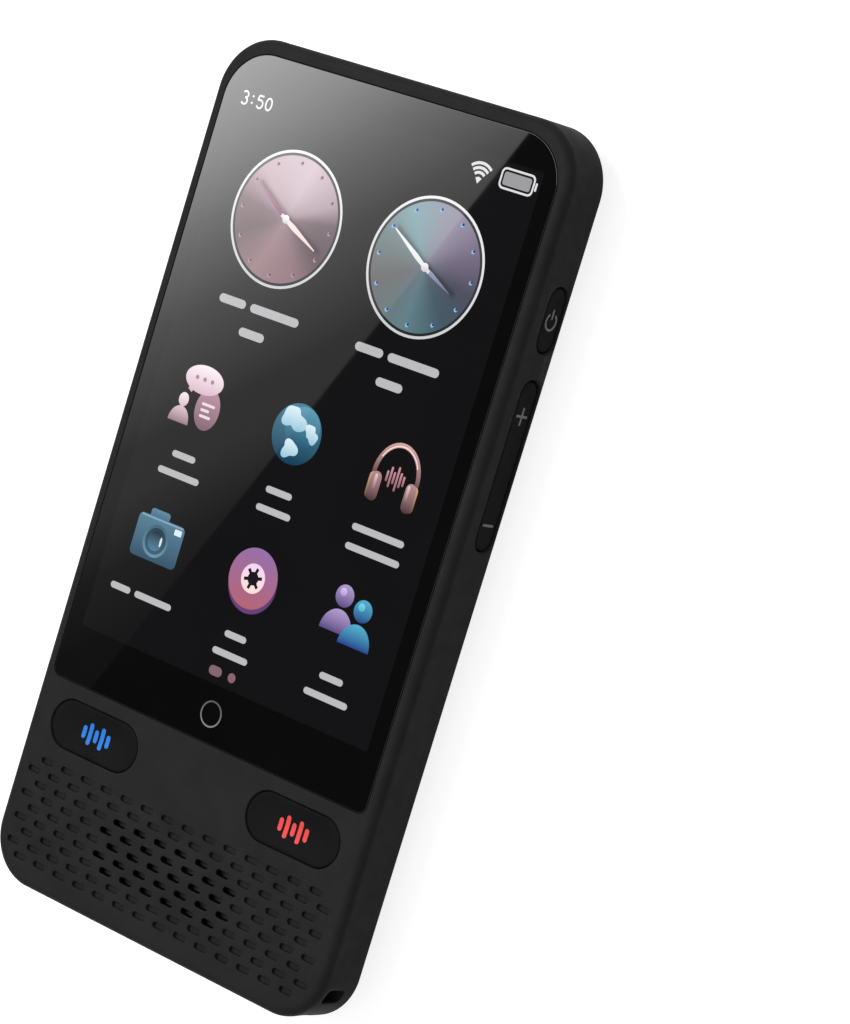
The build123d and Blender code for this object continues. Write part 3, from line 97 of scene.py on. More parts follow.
# Lengths below are in millimetres; make_piece turns them into metres. A size is (length, width) in
# plan, and a flange is (how far it stands out, its thickness).
MM = 0.001


def node_box(node):
    """Lowest and highest corner of a CAD node, in millimetres."""
    return [np.array(corner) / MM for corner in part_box(node)]


# ------------------------ places taken from the frame
HOUSING_LOW, HOUSING_HIGH = node_box("front_housing")
GLASS_LOW, GLASS_HIGH = node_box("cover_glass")
WINDOW_LOW, WINDOW_HIGH = node_box("camera_window")
LENS_LOW, LENS_HIGH = node_box("camera_lens")
TALK_LOW, TALK_HIGH = node_box("right_talk_button")
POWER_LOW, POWER_HIGH = node_box("power_button")
VOLUME_LOW = node_box("volume_rocker")[0]
_, TRAY_Y, TRAY_Z = np.mean(node_box("card_tray"), axis=0)
PORT_Z = np.mean(node_box("usb_c_socket"), axis=0)[2]
LIP_TOP_Z = node_box("rear_cover")[1][2]
RING_DEPTH = node_box("camera_ring")[1][2]
HALF_X, HALF_Y, FRONT_Z = HOUSING_HIGH
SEAM_Z = HOUSING_LOW[2]
WINDOW_Z = WINDOW_LOW[2]

# ------------------------ shell
TOP_R = 8.8
BOTTOM_R = 8.1
FRONT_EDGE_R = 1.4
WALL = 1.8
CEILING_Z = FRONT_Z - 2.1
BACK_Z = 0.6
BACK_INSET = 6.8
FLOOR_Z = BACK_Z + 1.3
# Step along the walls and number of turns at a corner, for each shell
FRONT_STATIONS = (6.0, 22)
REAR_STATIONS = (0.7, 34)
LIP_OUT = 1.9
LIP_IN = 2.9
FLOOR_INSET = 4.9

# ------------------------ front
POCKET_GAP = 0.1
POCKET_LIP = 0.08
POCKET_Z = GLASS_LOW[2] - 0.15
GLASS_R = (7.5, 7.5, 1.5, 1.5)
GLASS_EDGE_R = 0.1
OPENING = (59.0, 92.0)
OPENING_R = 2.5
OPENING_Y = 14.5
TALK_X = 19.85
TALK_Y = -40.3
TALK_SIZE = (17.2, 7.3)
TALK_GAP = 0.2
TALK_LIP = 0.2
TALK_GROW = 0.07
TALK_RIM_R = 0.2
TALK_FLANGE = (0.9, 0.6)
FLANGE_GAP = 0.1
DISH_DEPTH = 0.34
DISH_EDGE = 0.55
PLUNGER_R = 1.5
PLUNGER_ROOT = 0.5
SOUND_SIGN_X = 19.75
SOUND_SIGN_Y = TALK_Y - 0.1
SOUND_BAR_WIDTH = 0.76
GRILLE_Y = -54.5
GRILLE_ROWS = 9
ROW_PITCH = 1.88
SLOT_PITCH = 4.15
SLOT_SIZE = (2.5, 0.9)
SLOT_LIP = 0.12
SLOT_DEPTH = 0.5
SHORT_ROW = 14
OPEN_ROWS = (2, 7)
OPEN_SHORT = 6
CHAMBER = (32.8, 12.2)
CHAMBER_R = 0.8
CHAMBER_Z = CEILING_Z + 0.9

# ------------------------ sides
KEY_Z = (POWER_LOW[2] + POWER_HIGH[2]) / 2
KEY_RECESS_WIDTH = 4.4
KEY_GAP = 0.25
KEY_LIP = 0.3
KEY_RIM_R = 0.28
KEY_FLANGE = (0.7, 0.55)
KEY_DISH = 0.04
TIP_HALF = 0.9
OVERLAP = 0.02
POWER_Y = 39.7
POWER_LENGTH = 9.8
VOLUME_Y = 18.4
VOLUME_LENGTH = 25.3
POWER_SIGN_Y = 39.5
PLUS_Y = 25.7
MINUS_Y = 9.7
PIVOT_X = 30.45
PIVOT_R = 0.5
SWITCH_REACH = 8
SIDE_FLANGE_X = HALF_X - WALL - 0.15
VOLUME_FLANGE_X = HALF_X - WALL - 0.35
TRAY_SLOT = (13.5, 2.5)
TRAY_CORNER = 0.5
TRAY_LIP = 0.12
PORT_SLOT = (9.34, 3.66)
PORT_LIP = 0.25
MIC_R = 0.5
MIC_LIP = 0.1
MIC_Z = 6.7
SIDE_MIC_Y = -7.9
END_MIC_X = 14.0
LANYARD_Z = 8.5
LANYARD_SLOT = (2.3, 4.0)
LANYARD_CORNER = 0.7
LANYARD_LIP = 0.3
LANYARD_FLARE = 0.4
LANYARD_Y = -60.9
LANYARD_X = 27.8
LANYARD_BEND = 1.7
POST_FILL = 5.6

# ------------------------ camera
CAMERA = ((WINDOW_LOW[0] + WINDOW_HIGH[0]) / 2, (LENS_LOW[1] + LENS_HIGH[1]) / 2)
ISLAND_PLACE = (CAMERA[0], (WINDOW_LOW[1] + WINDOW_HIGH[1]) / 2)
ISLAND = (12.5, 26.2)
ISLAND_R = 3.4
ISLAND_GROOVE = 0.62
ISLAND_LIP = 1.2
ISLAND_FALL = 0.5
ISLAND_RAISE = 0.2
PLATE_EDGE_R = 0.2
PLATE_FLANGE = (1.8, 0.6)
BARREL_R = 2.6
CAMERA_SIGN_Y = 40.0
PRINT = 0.02
SIDE_PRINT = 0.03
RING = (11.4, 12.3)
RING_R = 2.9
RING_INSET = 0.16
RING_LINE = 0.58
RING_EDGE_R = 0.12
RING_GAP = 0.05
PANE_DEPTH = 0.6
PANE_GAP = 0.03
LENS_GAP = 0.05
LENS_BEVEL = 0.15
LENS_R = (LENS_HIGH[0] - LENS_LOW[0]) / 2
LENS_GLASS_R = 2.12
LENS_FALL = 0.3


def linear(colour):
    """Screen colour, written as six hexadecimal digits, as linear light."""
    value = np.array(list(bytes.fromhex(colour))) / 255
    return np.where(value <= 0.04045, value / 12.92, ((value + 0.055) / 1.055) ** 2.4)


# ======================== surfaces
def ease(share):
    """Soft step: 0 up to 0, 1 from 1 on, and 3 s^2 - 2 s^3 between."""
    share = np.clip(share, 0, 1)
    return share * share * (3 - 2 * share)


class Outline:
    """The handset in plan: four straight walls joined by four round corners.
    A place on it is its arc length s, anticlockwise from the foot of the right wall."""

    def __init__(self, half_x, half_y, top_r, bottom_r):
        tall = 2 * half_y - top_r - bottom_r
        top_x, top_y, low_x, low_y = half_x - top_r, half_y - top_r, half_x - bottom_r, bottom_r - half_y
        # A wall's start or a corner's centre, the normal's quarter turns, the radius, a wall's length
        runs = [
            ((half_x, low_y), 0, 0, tall), ((top_x, top_y), 0, top_r, 0),
            ((top_x, half_y), 1, 0, 2 * top_x), ((-top_x, top_y), 1, top_r, 0),
            ((-half_x, top_y), 2, 0, tall), ((-low_x, low_y), 2, bottom_r, 0),
            ((-low_x, -half_y), 3, 0, 2 * low_x), ((low_x, low_y), 3, bottom_r, 0),
        ]
        self.origins, turns, self.radii, lengths = (np.array(column, float) for column in zip(*runs))
        self.angles = turns * pi / 2
        self.ends = np.cumsum(lengths + self.radii * pi / 2)
        self.starts = np.concatenate([[0], self.ends[:-1]])
        self.length = self.ends[-1]
        self.low_x, self.low_y, self.bottom_r = low_x, low_y, bottom_r

    def run_at(self, s):
        """Number of the wall or corner that holds s."""
        return np.clip(np.searchsorted(self.starts, s, side="right") - 1, 0, 7)

    def ring(self, s, inset=0.0):
        """The outline at s, moved inwards by an inset. On a wall the point goes straight along; on a
        corner it is the centre plus the radius times the normal, which turns evenly with s."""
        s = np.mod(np.asarray(s, float), self.length)
        k = self.run_at(s)
        run, radius = s - self.starts[k], self.radii[k]
        angle = self.angles[k] + np.where(radius > 0, run / np.maximum(radius, 1e-9), 0)
        normal = np.stack([np.cos(angle), np.sin(angle)], -1)
        along = np.stack([-np.sin(angle), np.cos(angle)], -1)
        reach = np.where(radius[..., None] > 0, radius[..., None] * normal, run[..., None] * along)
        return self.origins[k] + reach - normal * np.asarray(inset, float)[..., None]

    def stations(self, wall_step, corner_turns):
        """Values of s that split each wall about evenly and each corner into equal turns."""
        parts = []
        for start, end, radius in zip(self.starts, self.ends, self.radii):
            count = corner_turns if radius > 0 else round((end - start) / wall_step)
            parts.append(np.linspace(start, end, count, endpoint=False))
        return np.concatenate(parts)

    def right(self, y):
        """s of a height y on the right wall, or on the round corner below it."""
        over = np.asarray(y, float) - self.low_y
        corner = self.length + self.bottom_r * np.arcsin(np.clip(over / self.bottom_r, -1, 0))
        return np.where(over < 0, corner, over)

    def left(self, y):
        """s of a height y on the left wall."""
        return self.starts[4] + self.origins[4][1] - np.asarray(y, float)

    def bottom(self, x):
        """s of a place x on the bottom wall, or on the round corner to its right."""
        over = np.asarray(x, float) - self.low_x
        corner = self.bottom_r * np.arcsin(np.clip(over / self.bottom_r, 0, 1))
        return self.starts[7] + np.where(over > 0, corner, over)


OUTLINE = Outline(HALF_X, HALF_Y, TOP_R, BOTTOM_R)


def inset_of(points):
    """How far inside the outline each point lies: the distance to the nearest wall, or in a corner's
    square the corner radius less the distance to the corner's centre."""
    x, y = np.abs(points[..., 0]), points[..., 1]
    radius = np.where(y > 0, TOP_R, BOTTOM_R)
    over_x, over_y = x - (HALF_X - radius), np.abs(y) - (HALF_Y - radius)
    corner = np.hypot(np.maximum(over_x, 0), np.maximum(over_y, 0))
    return radius - corner - np.minimum(np.maximum(over_x, over_y), 0)


def with_height(loop, height):
    """Loop of (x, y) points lifted to a height z, one number or one for each point."""
    return np.column_stack([loop, np.broadcast_to(height, len(loop))])


def round_box(size, radius, centre=(0, 0), grow=0.0, turns=8):
    """Rounded rectangle grown evenly by a margin: the corner centres stay and the radii grow.
    A radius of half the width makes a stadium, and of half of both sizes a circle."""
    radii = np.broadcast_to(radius, 4).astype(float)
    signs = np.array([(1, 1), (-1, 1), (-1, -1), (1, -1)], float)
    centres = signs * (np.array(size) / 2 - radii[:, None]) + np.array(centre)
    angles = np.arange(4)[:, None] * pi / 2 + np.linspace(0, pi / 2, turns + 1)
    ring = (radii + grow)[:, None, None] * np.stack([np.cos(angles), np.sin(angles)], -1)
    return (centres[:, None] + ring).reshape(-1, 2)


def disc(centre, radius, turns=12):
    """Circle as a loop."""
    return round_box((2 * radius,) * 2, radius, centre, turns=turns)


def quarter(radius, turns=4):
    """Rows (inset, drop) of a quarter round, from the face outwards and down: the radius times
    1 - sin a and 1 - cos a, for a quarter turn of a."""
    return [(radius * (1 - np.sin(a)), radius * (1 - np.cos(a))) for a in np.linspace(0, pi / 2, turns + 1)]


def throat(lip_r, depth, turns=4):
    """Rows (margin, depth) of an opening's wall: a quarter round into it, then straight in."""
    return quarter(lip_r, turns) + [(0.0, depth)]


def grid_faces(rows, columns, closed=True):
    """Four-sided faces of a grid of points; the last column joins the first where it is closed."""
    index = np.arange(rows * columns).reshape(rows, columns)
    if closed:
        index = np.hstack([index, index[:, :1]])
    return np.stack([index[:-1, :-1], index[1:, :-1], index[1:, 1:], index[:-1, 1:]], -1).reshape(-1, 4)


def clockwise(loop):
    """Whether a loop runs clockwise, by the sign of its area in the shoelace rule."""
    after = np.roll(loop, -1, 0)
    return (loop[:, 0] * after[:, 1] - after[:, 0] * loop[:, 1]).sum() <= 0


def sheet(outline, holes=(), inner=(), edges=(), keep_all=False):
    """Flat region inside one loop and outside the others, cut into triangles by Delaunay's rule with
    the loops kept as edges. Inner points refine it. Returns points, triangles and, where all are
    kept, the loops that hold each triangle."""
    loops = [outline, *holes]
    points = np.vstack([*loops, *inner])
    starts = np.cumsum([0] + [len(loop) for loop in loops])
    rings = [list(range(a, b)) for a, b in zip(starts, starts[1:])]
    rings = [ring[::-1] if clockwise(loop) else ring for ring, loop in zip(rings, loops)]
    places = [Vector(point) for point in points]
    found, _, faces, origins, _, owners = delaunay_2d_cdt(places, list(edges), rings, 1, 1e-6)
    flat = np.array([tuple(point) for point in found])
    known = [(i, origin[0]) for i, origin in enumerate(origins) if origin]
    flat[[i for i, _ in known]] = points[[j for _, j in known]]
    if keep_all:
        return flat, np.array(faces), owners
    return flat, np.array([face for face, owner in zip(faces, owners) if owner == [0]]), None


class Patchwork:
    """The surface of one piece, gathered patch by patch: points, faces, and for each face the number
    of its finish and a colour at each corner, which stays black without a picture."""

    def __init__(self):
        self.points, self.faces, self.finishes, self.colours = [], [], [], []
        self.count = 0

    def add(self, points, faces, finish=0, colours=None):
        """Adds loose faces of one finish."""
        self.faces.extend((np.asarray(faces) + self.count).tolist())
        self.points.append(np.asarray(points, float))
        self.finishes.extend([finish] * len(faces))
        self.colours.append(np.zeros((len(faces) * len(faces[0]), 3)) if colours is None else colours)
        self.count += len(points)

    def grid(self, rows, finish=0):
        """Adds closed rows of points, each joined to the next."""
        points = np.stack(rows)
        self.add(points.reshape(-1, 3), grid_faces(*points.shape[:2]), finish)

    def sweep(self, section, loop, place=with_height, finish=0):
        """Adds a section of (margin, height) rows carried round loop(margin)."""
        self.grid([place(loop(margin), height) for margin, height in section], finish)

    def tube(self, loop, heights, finish=0):
        """Adds an upright wall on a loop."""
        self.grid([with_height(loop, height) for height in heights], finish)

    def stub(self, centre, radius, low, high, turns):
        """Adds a closed upright cylinder; at its ends it runs into a point."""
        tip = 0.01
        self.sweep([(tip, low), (radius, low), (radius, high), (tip, high)], lambda r: disc(centre, r, turns))

    def flat(self, height, outline, holes=(), finish=0):
        """Adds a level sheet at a height, with holes."""
        points, faces, _ = sheet(outline, holes)
        self.add(with_height(points, height), faces, finish)

    def block(self, low, high):
        """Adds a closed box: a square carried up, shrunk to its middle at both ends."""
        square = np.array([(low[0], low[1]), (high[0], low[1]), (high[0], high[1]), (low[0], high[1])])
        section = [(0, low[2]), (1, low[2]), (1, high[2]), (0, high[2])]
        self.sweep(section, lambda share: square.mean(0) + share * (square - square.mean(0)))


def make_piece(name, patches, body, slot=None, stands_for=None, extra=(), angle=34):
    """Puts a patchwork into a mesh in metres, joins its seams, turns its faces outwards, keeps edges
    sharper than the angle crisp, and hangs the piece on its body in the node's place. Its finishes
    are its slot's and the extra ones."""
    mesh = bpy.data.meshes.new(name)
    mesh.from_pydata(np.vstack(patches.points) * MM, [], patches.faces)
    mesh.polygons.foreach_set("material_index", np.array(patches.finishes, np.int32))
    colours = np.vstack(patches.colours)
    if colours.any():
        layer = mesh.color_attributes.new("picture", "FLOAT_COLOR", "CORNER")
        layer.data.foreach_set("color", np.column_stack([colours, np.ones(len(colours))]).ravel())
    work = bmesh.new()
    work.from_mesh(mesh)
    bmesh.ops.remove_doubles(work, verts=work.verts, dist=2e-6)
    bmesh.ops.dissolve_degenerate(work, edges=work.edges, dist=1e-7)
    bmesh.ops.recalc_face_normals(work, faces=work.faces)
    work.to_mesh(mesh)
    work.free()
    mesh.polygons.foreach_set("use_smooth", np.ones(len(mesh.polygons), bool))
    mesh.set_sharp_from_angle(angle=radians(angle))
    for finish in ([finish_named(slot)] if slot else []) + list(extra):
        mesh.materials.append(finish)
    piece = bpy.data.objects.new(name, mesh)
    bpy.context.scene.collection.objects.link(piece)
    weighted = piece.modifiers.new("even_normals", "WEIGHTED_NORMAL")
    weighted.keep_sharp = True
    weighted.weight = 100
    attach(piece, body)
    if slot:
        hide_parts(stands_for)


# ======================== finishes
class Nodes:
    """The shader nodes of a finish or a world. Each call adds a node and gives back its output."""

    def __init__(self, owner):
        self.owner = owner
        owner.use_nodes = True
        self.tree = owner.node_tree
        self.tree.nodes.clear()

    def add(self, kind, inputs=(), output=0, **settings):
        """Adds a node with its settings. An input is a value or another node's output."""
        node = self.tree.nodes.new("ShaderNode" + kind)
        for name, value in settings.items():
            setattr(node, name, value)
        for name, value in dict(inputs).items():
            if isinstance(value, bpy.types.NodeSocket):
                self.tree.links.new(value, node.inputs[name])
            else:
                node.inputs[name].default_value = value
        return node.outputs[output] if node.outputs else None

    def surface(self, inputs, kind="BsdfPrincipled"):
        """Ends a finish with its main shader; gives back the material."""
        self.add("OutputMaterial", {"Surface": self.add(kind, inputs)})
        return self.owner

    def place(self):
        """The point on the piece, in metres."""
        return self.add("TexCoord", output="Object")

    def noise(self, scale, detail=3.0, place=None):
        """Cloudy value from 0 to 1 with features about 1/scale metres across."""
        return self.add("TexNoise", {"Scale": scale, "Detail": detail, "Vector": place or self.place()})

    def between(self, value, low, high, start=0.3, end=0.7):
        """Maps a value from start..end to low..high."""
        return self.add("MapRange", {"Value": value, "From Min": start, "From Max": end,
                                     "To Min": low, "To Max": high})

    def ramp(self, value, stops):
        """Colour ramp; each stop is (place, linear colour)."""
        node = self.tree.nodes.new("ShaderNodeValToRGB")
        while len(node.color_ramp.elements) < len(stops):
            node.color_ramp.elements.new(0.5)
        for element, (place, colour) in zip(node.color_ramp.elements, stops):
            element.position = place
            element.color = (*colour, 1)
        self.tree.links.new(value, node.inputs["Fac"])
        return node.outputs["Color"]

    def tone(self, value, dark, light):
        """Runs from a dark colour to a light one over the middle of a noise's range."""
        return self.ramp(value, [(0.3, dark), (0.7, light)])

    def bump(self, height, strength, distance):
        """Fine relief of a height map, for a shader's normal."""
        return self.add("Bump", {"Strength": strength, "Distance": distance, "Height": height})

    def reach_from(self, x, y, radius):
        """Distance of the point from the upright line beside the camera's axis by (x, y), in radii."""
        spot = ((CAMERA[0] + x) * MM, (CAMERA[1] + y) * MM, 0)
        centred = self.add("Mapping", {"Location": spot, "Scale": (radius * MM,) * 3, "Vector": self.place()},
                           vector_type="TEXTURE")
        level = self.add("VectorMath", {0: centred, 1: (1, 1, 0)}, operation="MULTIPLY")
        return self.add("VectorMath", {0: level}, "Value", operation="LENGTH")

    def blend(self, share, low, high):
        """Mixes two colours by a share."""
        return self.add("Mix", {"Factor": share, "A": low, "B": high}, "Result", data_type="RGBA")

    def ray_share(self, *names):
        """1 for rays of the named kinds, and 0 for the others."""
        path = self.tree.nodes.new("ShaderNodeLightPath")
        share = path.outputs[names[0]]
        for name in names[1:]:
            share = self.add("Math", {0: share, 1: path.outputs[name]}, operation="MAXIMUM")
        return share


def grained(name, colour, roughness, grain=5200, relief=0.35, spread=0.12, specular=0.5, mottle=180):
    """Moulded or sprayed surface: cloudy tone, uneven roughness and a fine spark-eroded grain."""
    nodes, colour = Nodes(bpy.data.materials.new(name)), np.array(colour)
    return nodes.surface({
        "Base Color": nodes.tone(nodes.noise(mottle, 4), colour * (1 - spread), colour * (1 + spread)),
        "Roughness": nodes.between(nodes.noise(mottle * 3), roughness * 0.92, min(1, roughness * 1.08)),
        "Specular IOR Level": specular,
        "Normal": nodes.bump(nodes.noise(grain, 2), relief, 0.00002),
    })


def screen_glass(name, black, roughness):
    """Black glass: mirror-smooth with faint wiping marks, lit from under by the picture attribute."""
    nodes, black = Nodes(bpy.data.materials.new(name)), np.array(black)
    wiped = nodes.add("Mapping", {"Rotation": (0, 0, 0.9), "Scale": (1, 0.15, 1), "Vector": nodes.place()})
    return nodes.surface({
        "Roughness": nodes.between(nodes.noise(420, 5, wiped), roughness, roughness * 1.6),
        "Base Color": nodes.tone(nodes.noise(60, 2), black * 0.9, black * 1.1),
        "Emission Color": nodes.add("Attribute", output="Color", attribute_name="picture"),
        "Emission Strength": 1.0,
        "IOR": 1.5,
    })


def lens_with_painted_glints(name, rim, roughness):
    """Coated lens: dark at the rim and deep blue inside, with painted highlights, cyan with a white
    core above and violet with a pale core below, and a black pupil, each faded by the distance from
    its centre. The lens colour also glows faintly by emission, a painted glow."""
    nodes = Nodes(bpy.data.materials.new(name))
    stops = [(place, linear(tint)) for place, tint in (
        (0.0, "04040a"), (0.12, "080c28"), (0.3, "12246e"), (0.48, "0e143c"), (0.75, "0c0e1e"))]
    colour = nodes.ramp(nodes.reach_from(0, 0, LENS_GLASS_R), stops + [(1.0, rim)])
    # Place, radius, the share of it that is solid, and tint of each painted highlight, and last of the pupil
    for x, y, radius, solid, tint in (
            (0.31, 0.70, 0.62, 0.25, "3cbefa"), (-0.42, -0.74, 0.66, 0.25, "6e78fa"),
            (0.36, 0.74, 0.36, 0.25, "e2f6fc"), (-0.46, -0.80, 0.34, 0.25, "bebcfc"),
            (0.02, -0.05, 0.42, 0.5, "04040a")):
        share = nodes.between(nodes.reach_from(x, y, radius), 1, 0, solid, 1)
        colour = nodes.blend(share, colour, (*linear(tint), 1))
    # Emission makes the lens and its painted highlights glow faintly: painted light
    return nodes.surface({"Base Color": colour, "Emission Color": colour, "Emission Strength": 0.35,
                          "Roughness": roughness, "IOR": 1.5})


def brushed_metal(name, colour, roughness, stretch):
    """Metal with fine drawn lines: noise stretched along one direction drives tone and roughness."""
    nodes, colour = Nodes(bpy.data.materials.new(name)), np.array(colour)
    streaks = nodes.noise(900, 4, nodes.add("Mapping", {"Scale": stretch, "Vector": nodes.place()}))
    return nodes.surface({
        "Base Color": nodes.tone(streaks, colour * 0.86, np.minimum(colour * 1.1, 1)),
        "Roughness": nodes.between(streaks, roughness * 0.8, roughness * 1.25),
        "Metallic": 1.0,
        "Normal": nodes.bump(streaks, 0.15, 0.00001),
    })


def woven_mesh(name, colour, roughness):
    """Acoustic mesh: two sets of fine waves at right angles make threads and holes."""
    nodes, colour = Nodes(bpy.data.materials.new(name)), np.array(colour)
    warp, weft = (nodes.add("TexWave", {"Scale": 1200, "Vector": nodes.place()}, "Fac", bands_direction=way)
                  for way in "XY")
    weave = nodes.add("Math", {0: warp, 1: weft}, operation="MAXIMUM")
    return nodes.surface({"Base Color": nodes.ramp(weave, [(0.3, colour * 0.2), (0.8, colour)]),
                          "Roughness": roughness, "Normal": nodes.bump(weave, 0.5, 0.00005)})


def circuit_board(name, mask, roughness, track):
    """Solder mask with copper tracks that show through as a stepped cell pattern."""
    nodes = Nodes(bpy.data.materials.new(name))
    cells = nodes.add("TexVoronoi", {"Scale": 700, "Vector": nodes.place()}, "Distance",
                      distance="CHEBYCHEV", feature="DISTANCE_TO_EDGE")
    return nodes.surface({"Base Color": nodes.ramp(cells, [(0.02, track), (0.05, mask)]),
                          "Roughness": roughness, "Normal": nodes.bump(cells, 0.2, 0.00003)})


def finish_named(slot):
    """The finish of one of the record's material slots, made once from its maker, colour,
    roughness and other values."""
    name = f"finish_{slot}"
    if name in bpy.data.materials:
        return bpy.data.materials[name]
    colours = bpy.context.scene.handset_colours
    maker, colour, roughness, values = {
        "housing_black": (grained, colours.housing, 0.62, {"specular": 0.06}),
        "key_black": (grained, colours.keys, 0.6, {"specular": 0.03}),
        "cover_glass": (screen_glass, colours.glass, 0.012, {}),
        "display_black": (grained, linear("0a0a0c"), 0.25, {"relief": 0.05}),
        "camera_gloss": (grained, colours.window, 0.16, {"relief": 0.04, "mottle": 90}),
        "trim_metal": (brushed_metal, colours.trim, 0.28, {"stretch": (1, 1, 0.2)}),
        # The lens finish carries painted highlights and a painted glow
        "lens_glass": (lens_with_painted_glints, linear("08080e"), 0.05, {}),
        "frame_metal": (brushed_metal, (0.42, 0.43, 0.45), 0.42, {"stretch": (0.1, 1, 1)}),
        "steel": (brushed_metal, (0.55, 0.55, 0.56), 0.3, {"stretch": (1, 0.15, 1)}),
        "board": (circuit_board, (0.006, 0.032, 0.016), 0.35, {"track": (0.05, 0.09, 0.035)}),
        "chip_black": (grained, (0.012, 0.012, 0.013), 0.5, {}),
        "cell_wrap": (grained, (0.035, 0.036, 0.04), 0.4, {"mottle": 60}),
        "flex_amber": (grained, (0.32, 0.12, 0.02), 0.35, {"relief": 0.1}),
        "foam": (grained, (0.014, 0.014, 0.015), 0.95, {"grain": 2400, "relief": 0.9}),
        "mesh_black": (woven_mesh, (0.006, 0.006, 0.006), 0.7, {}),
    }[slot]
    return maker(name, colour, roughness, **values)


# ======================== front shell
def slot_centres(rows, short_count):
    """Centres of the grille's slots: rows one pitch apart, each other row with a slot more."""
    places = []
    for row in rows:
        count = short_count + row % 2
        x = (np.arange(count) - (count - 1) / 2) * SLOT_PITCH
        places.append(with_height(x, GRILLE_Y + ((GRILLE_ROWS - 1) / 2 - row) * ROW_PITCH))
    return np.vstack(places)


def slot_loop(grow=0.0):
    """One grille slot about the origin: a stadium."""
    return round_box(SLOT_SIZE, SLOT_SIZE[1] / 2, grow=grow, turns=4)


def glass_loop(grow=0.0, turns=16):
    """The cover glass in plan, grown by a margin."""
    return round_box((GLASS_HIGH - GLASS_LOW)[:2], GLASS_R, ((GLASS_HIGH + GLASS_LOW) / 2)[:2], grow, turns)


def pocket_loop(grow=0.0):
    """The display pocket: the glass grown by its gap."""
    return glass_loop(grow + POCKET_GAP, 14)


def talk_loop(side, grow=0.0):
    """A talk key's stadium, grown by a margin; side is -1 for the left key and 1 for the right."""
    return round_box(TALK_SIZE, TALK_SIZE[1] / 2, (side * TALK_X, TALK_Y), grow, 20)


def wall_holes():
    """Openings in the side walls. Each is (loop in (s, z) for a margin, rim radius)."""

    def hole(along, size, radius, centre, turns):
        """A rounded box drawn in wall coordinates, its first coordinate turned into s."""
        def loop(grow):
            flat, z = round_box(size, radius, centre, grow, turns).T
            return np.column_stack([along(flat), z])
        return loop

    mic = (2 * MIC_R, 2 * MIC_R)
    right, left, bottom = OUTLINE.right, OUTLINE.left, OUTLINE.bottom
    holes = (
        (right, (POWER_LENGTH, KEY_RECESS_WIDTH), KEY_RECESS_WIDTH / 2, (POWER_Y, KEY_Z), 12, KEY_LIP),
        (right, (VOLUME_LENGTH, KEY_RECESS_WIDTH), KEY_RECESS_WIDTH / 2, (VOLUME_Y, KEY_Z), 12, KEY_LIP),
        (left, TRAY_SLOT, TRAY_CORNER, (TRAY_Y, TRAY_Z), 5, TRAY_LIP),
        (left, mic, MIC_R, (SIDE_MIC_Y, MIC_Z), 6, MIC_LIP),
        (bottom, PORT_SLOT, PORT_SLOT[1] / 2, (0, PORT_Z), 10, PORT_LIP),
        (bottom, mic, MIC_R, (END_MIC_X, MIC_Z), 6, MIC_LIP),
        (right, LANYARD_SLOT, LANYARD_CORNER, (LANYARD_Y, LANYARD_Z), 8, LANYARD_LIP),
        (bottom, LANYARD_SLOT, LANYARD_CORNER, (LANYARD_X, LANYARD_Z), 8, LANYARD_LIP),
    )
    return [(hole(*shape), rim_r) for *shape, rim_r in holes]


def inner_depth(s):
    """Depth of the inner wall behind the outline: the wall's thickness, and much more in the
    bottom right corner, where a soft step up and down again fills round the post."""
    along = (np.asarray(s, float) - OUTLINE.starts[7]) / (OUTLINE.length - OUTLINE.starts[7])
    return WALL + POST_FILL * ease(4 * np.minimum(along, 1 - along))


def wall_place(loop, depth):
    """Puts a loop of (s, z) on the wall, a depth behind its outer face along the normal."""
    return with_height(OUTLINE.ring(loop[:, 0], np.broadcast_to(depth, len(loop))), loop[:, 1])


def add_wall(patches, stations, low_z, high_z, holes, depth):
    """Unrolled wall from low_z to high_z with its openings, rolled onto the outline. Upright edges
    at each corner station keep the corners round."""
    s = np.concatenate([stations, [OUTLINE.length]])
    border = np.vstack([with_height(s, low_z), with_height(s, high_z)[::-1]])
    round_here = OUTLINE.radii[OUTLINE.run_at(s)] > 0
    uprights = [(i, 2 * len(s) - 1 - i) for i in range(1, len(s) - 1) if round_here[i]]
    points, faces, _ = sheet(border, holes, edges=uprights)
    patches.add(wall_place(points, depth(points[:, 0])), faces)


def add_lanyard_tunnel(patches, mouths):
    """Rims of the two mouths, and the slot's shape carried in from the side mouth, round a quarter
    turn about the post, and out at the end mouth."""
    for loop, rim_r in mouths:
        patches.sweep([(inset, LANYARD_FLARE * drop) for inset, drop in quarter(rim_r, 3)], loop, wall_place)
    shape = round_box(LANYARD_SLOT, LANYARD_CORNER, turns=8)
    reach, height = LANYARD_BEND + shape[:, 0], shape[:, 1] + LANYARD_Z
    bend_x, bend_y = LANYARD_X + LANYARD_BEND, LANYARD_Y - LANYARD_BEND
    bend = [np.column_stack([bend_x - reach * np.sin(turn), bend_y + reach * np.cos(turn), height])
            for turn in np.linspace(0, pi / 2, 10)]
    first, last = (wall_place(loop(0.0), rim_r * LANYARD_FLARE) for loop, rim_r in mouths)
    # The end mouth is drawn the other way round, so its points are put in the tunnel's order.
    last = last.reshape(4, -1, 3)[[1, 0, 3, 2]][:, ::-1].reshape(-1, 3)
    patches.grid([first, *bend, last])


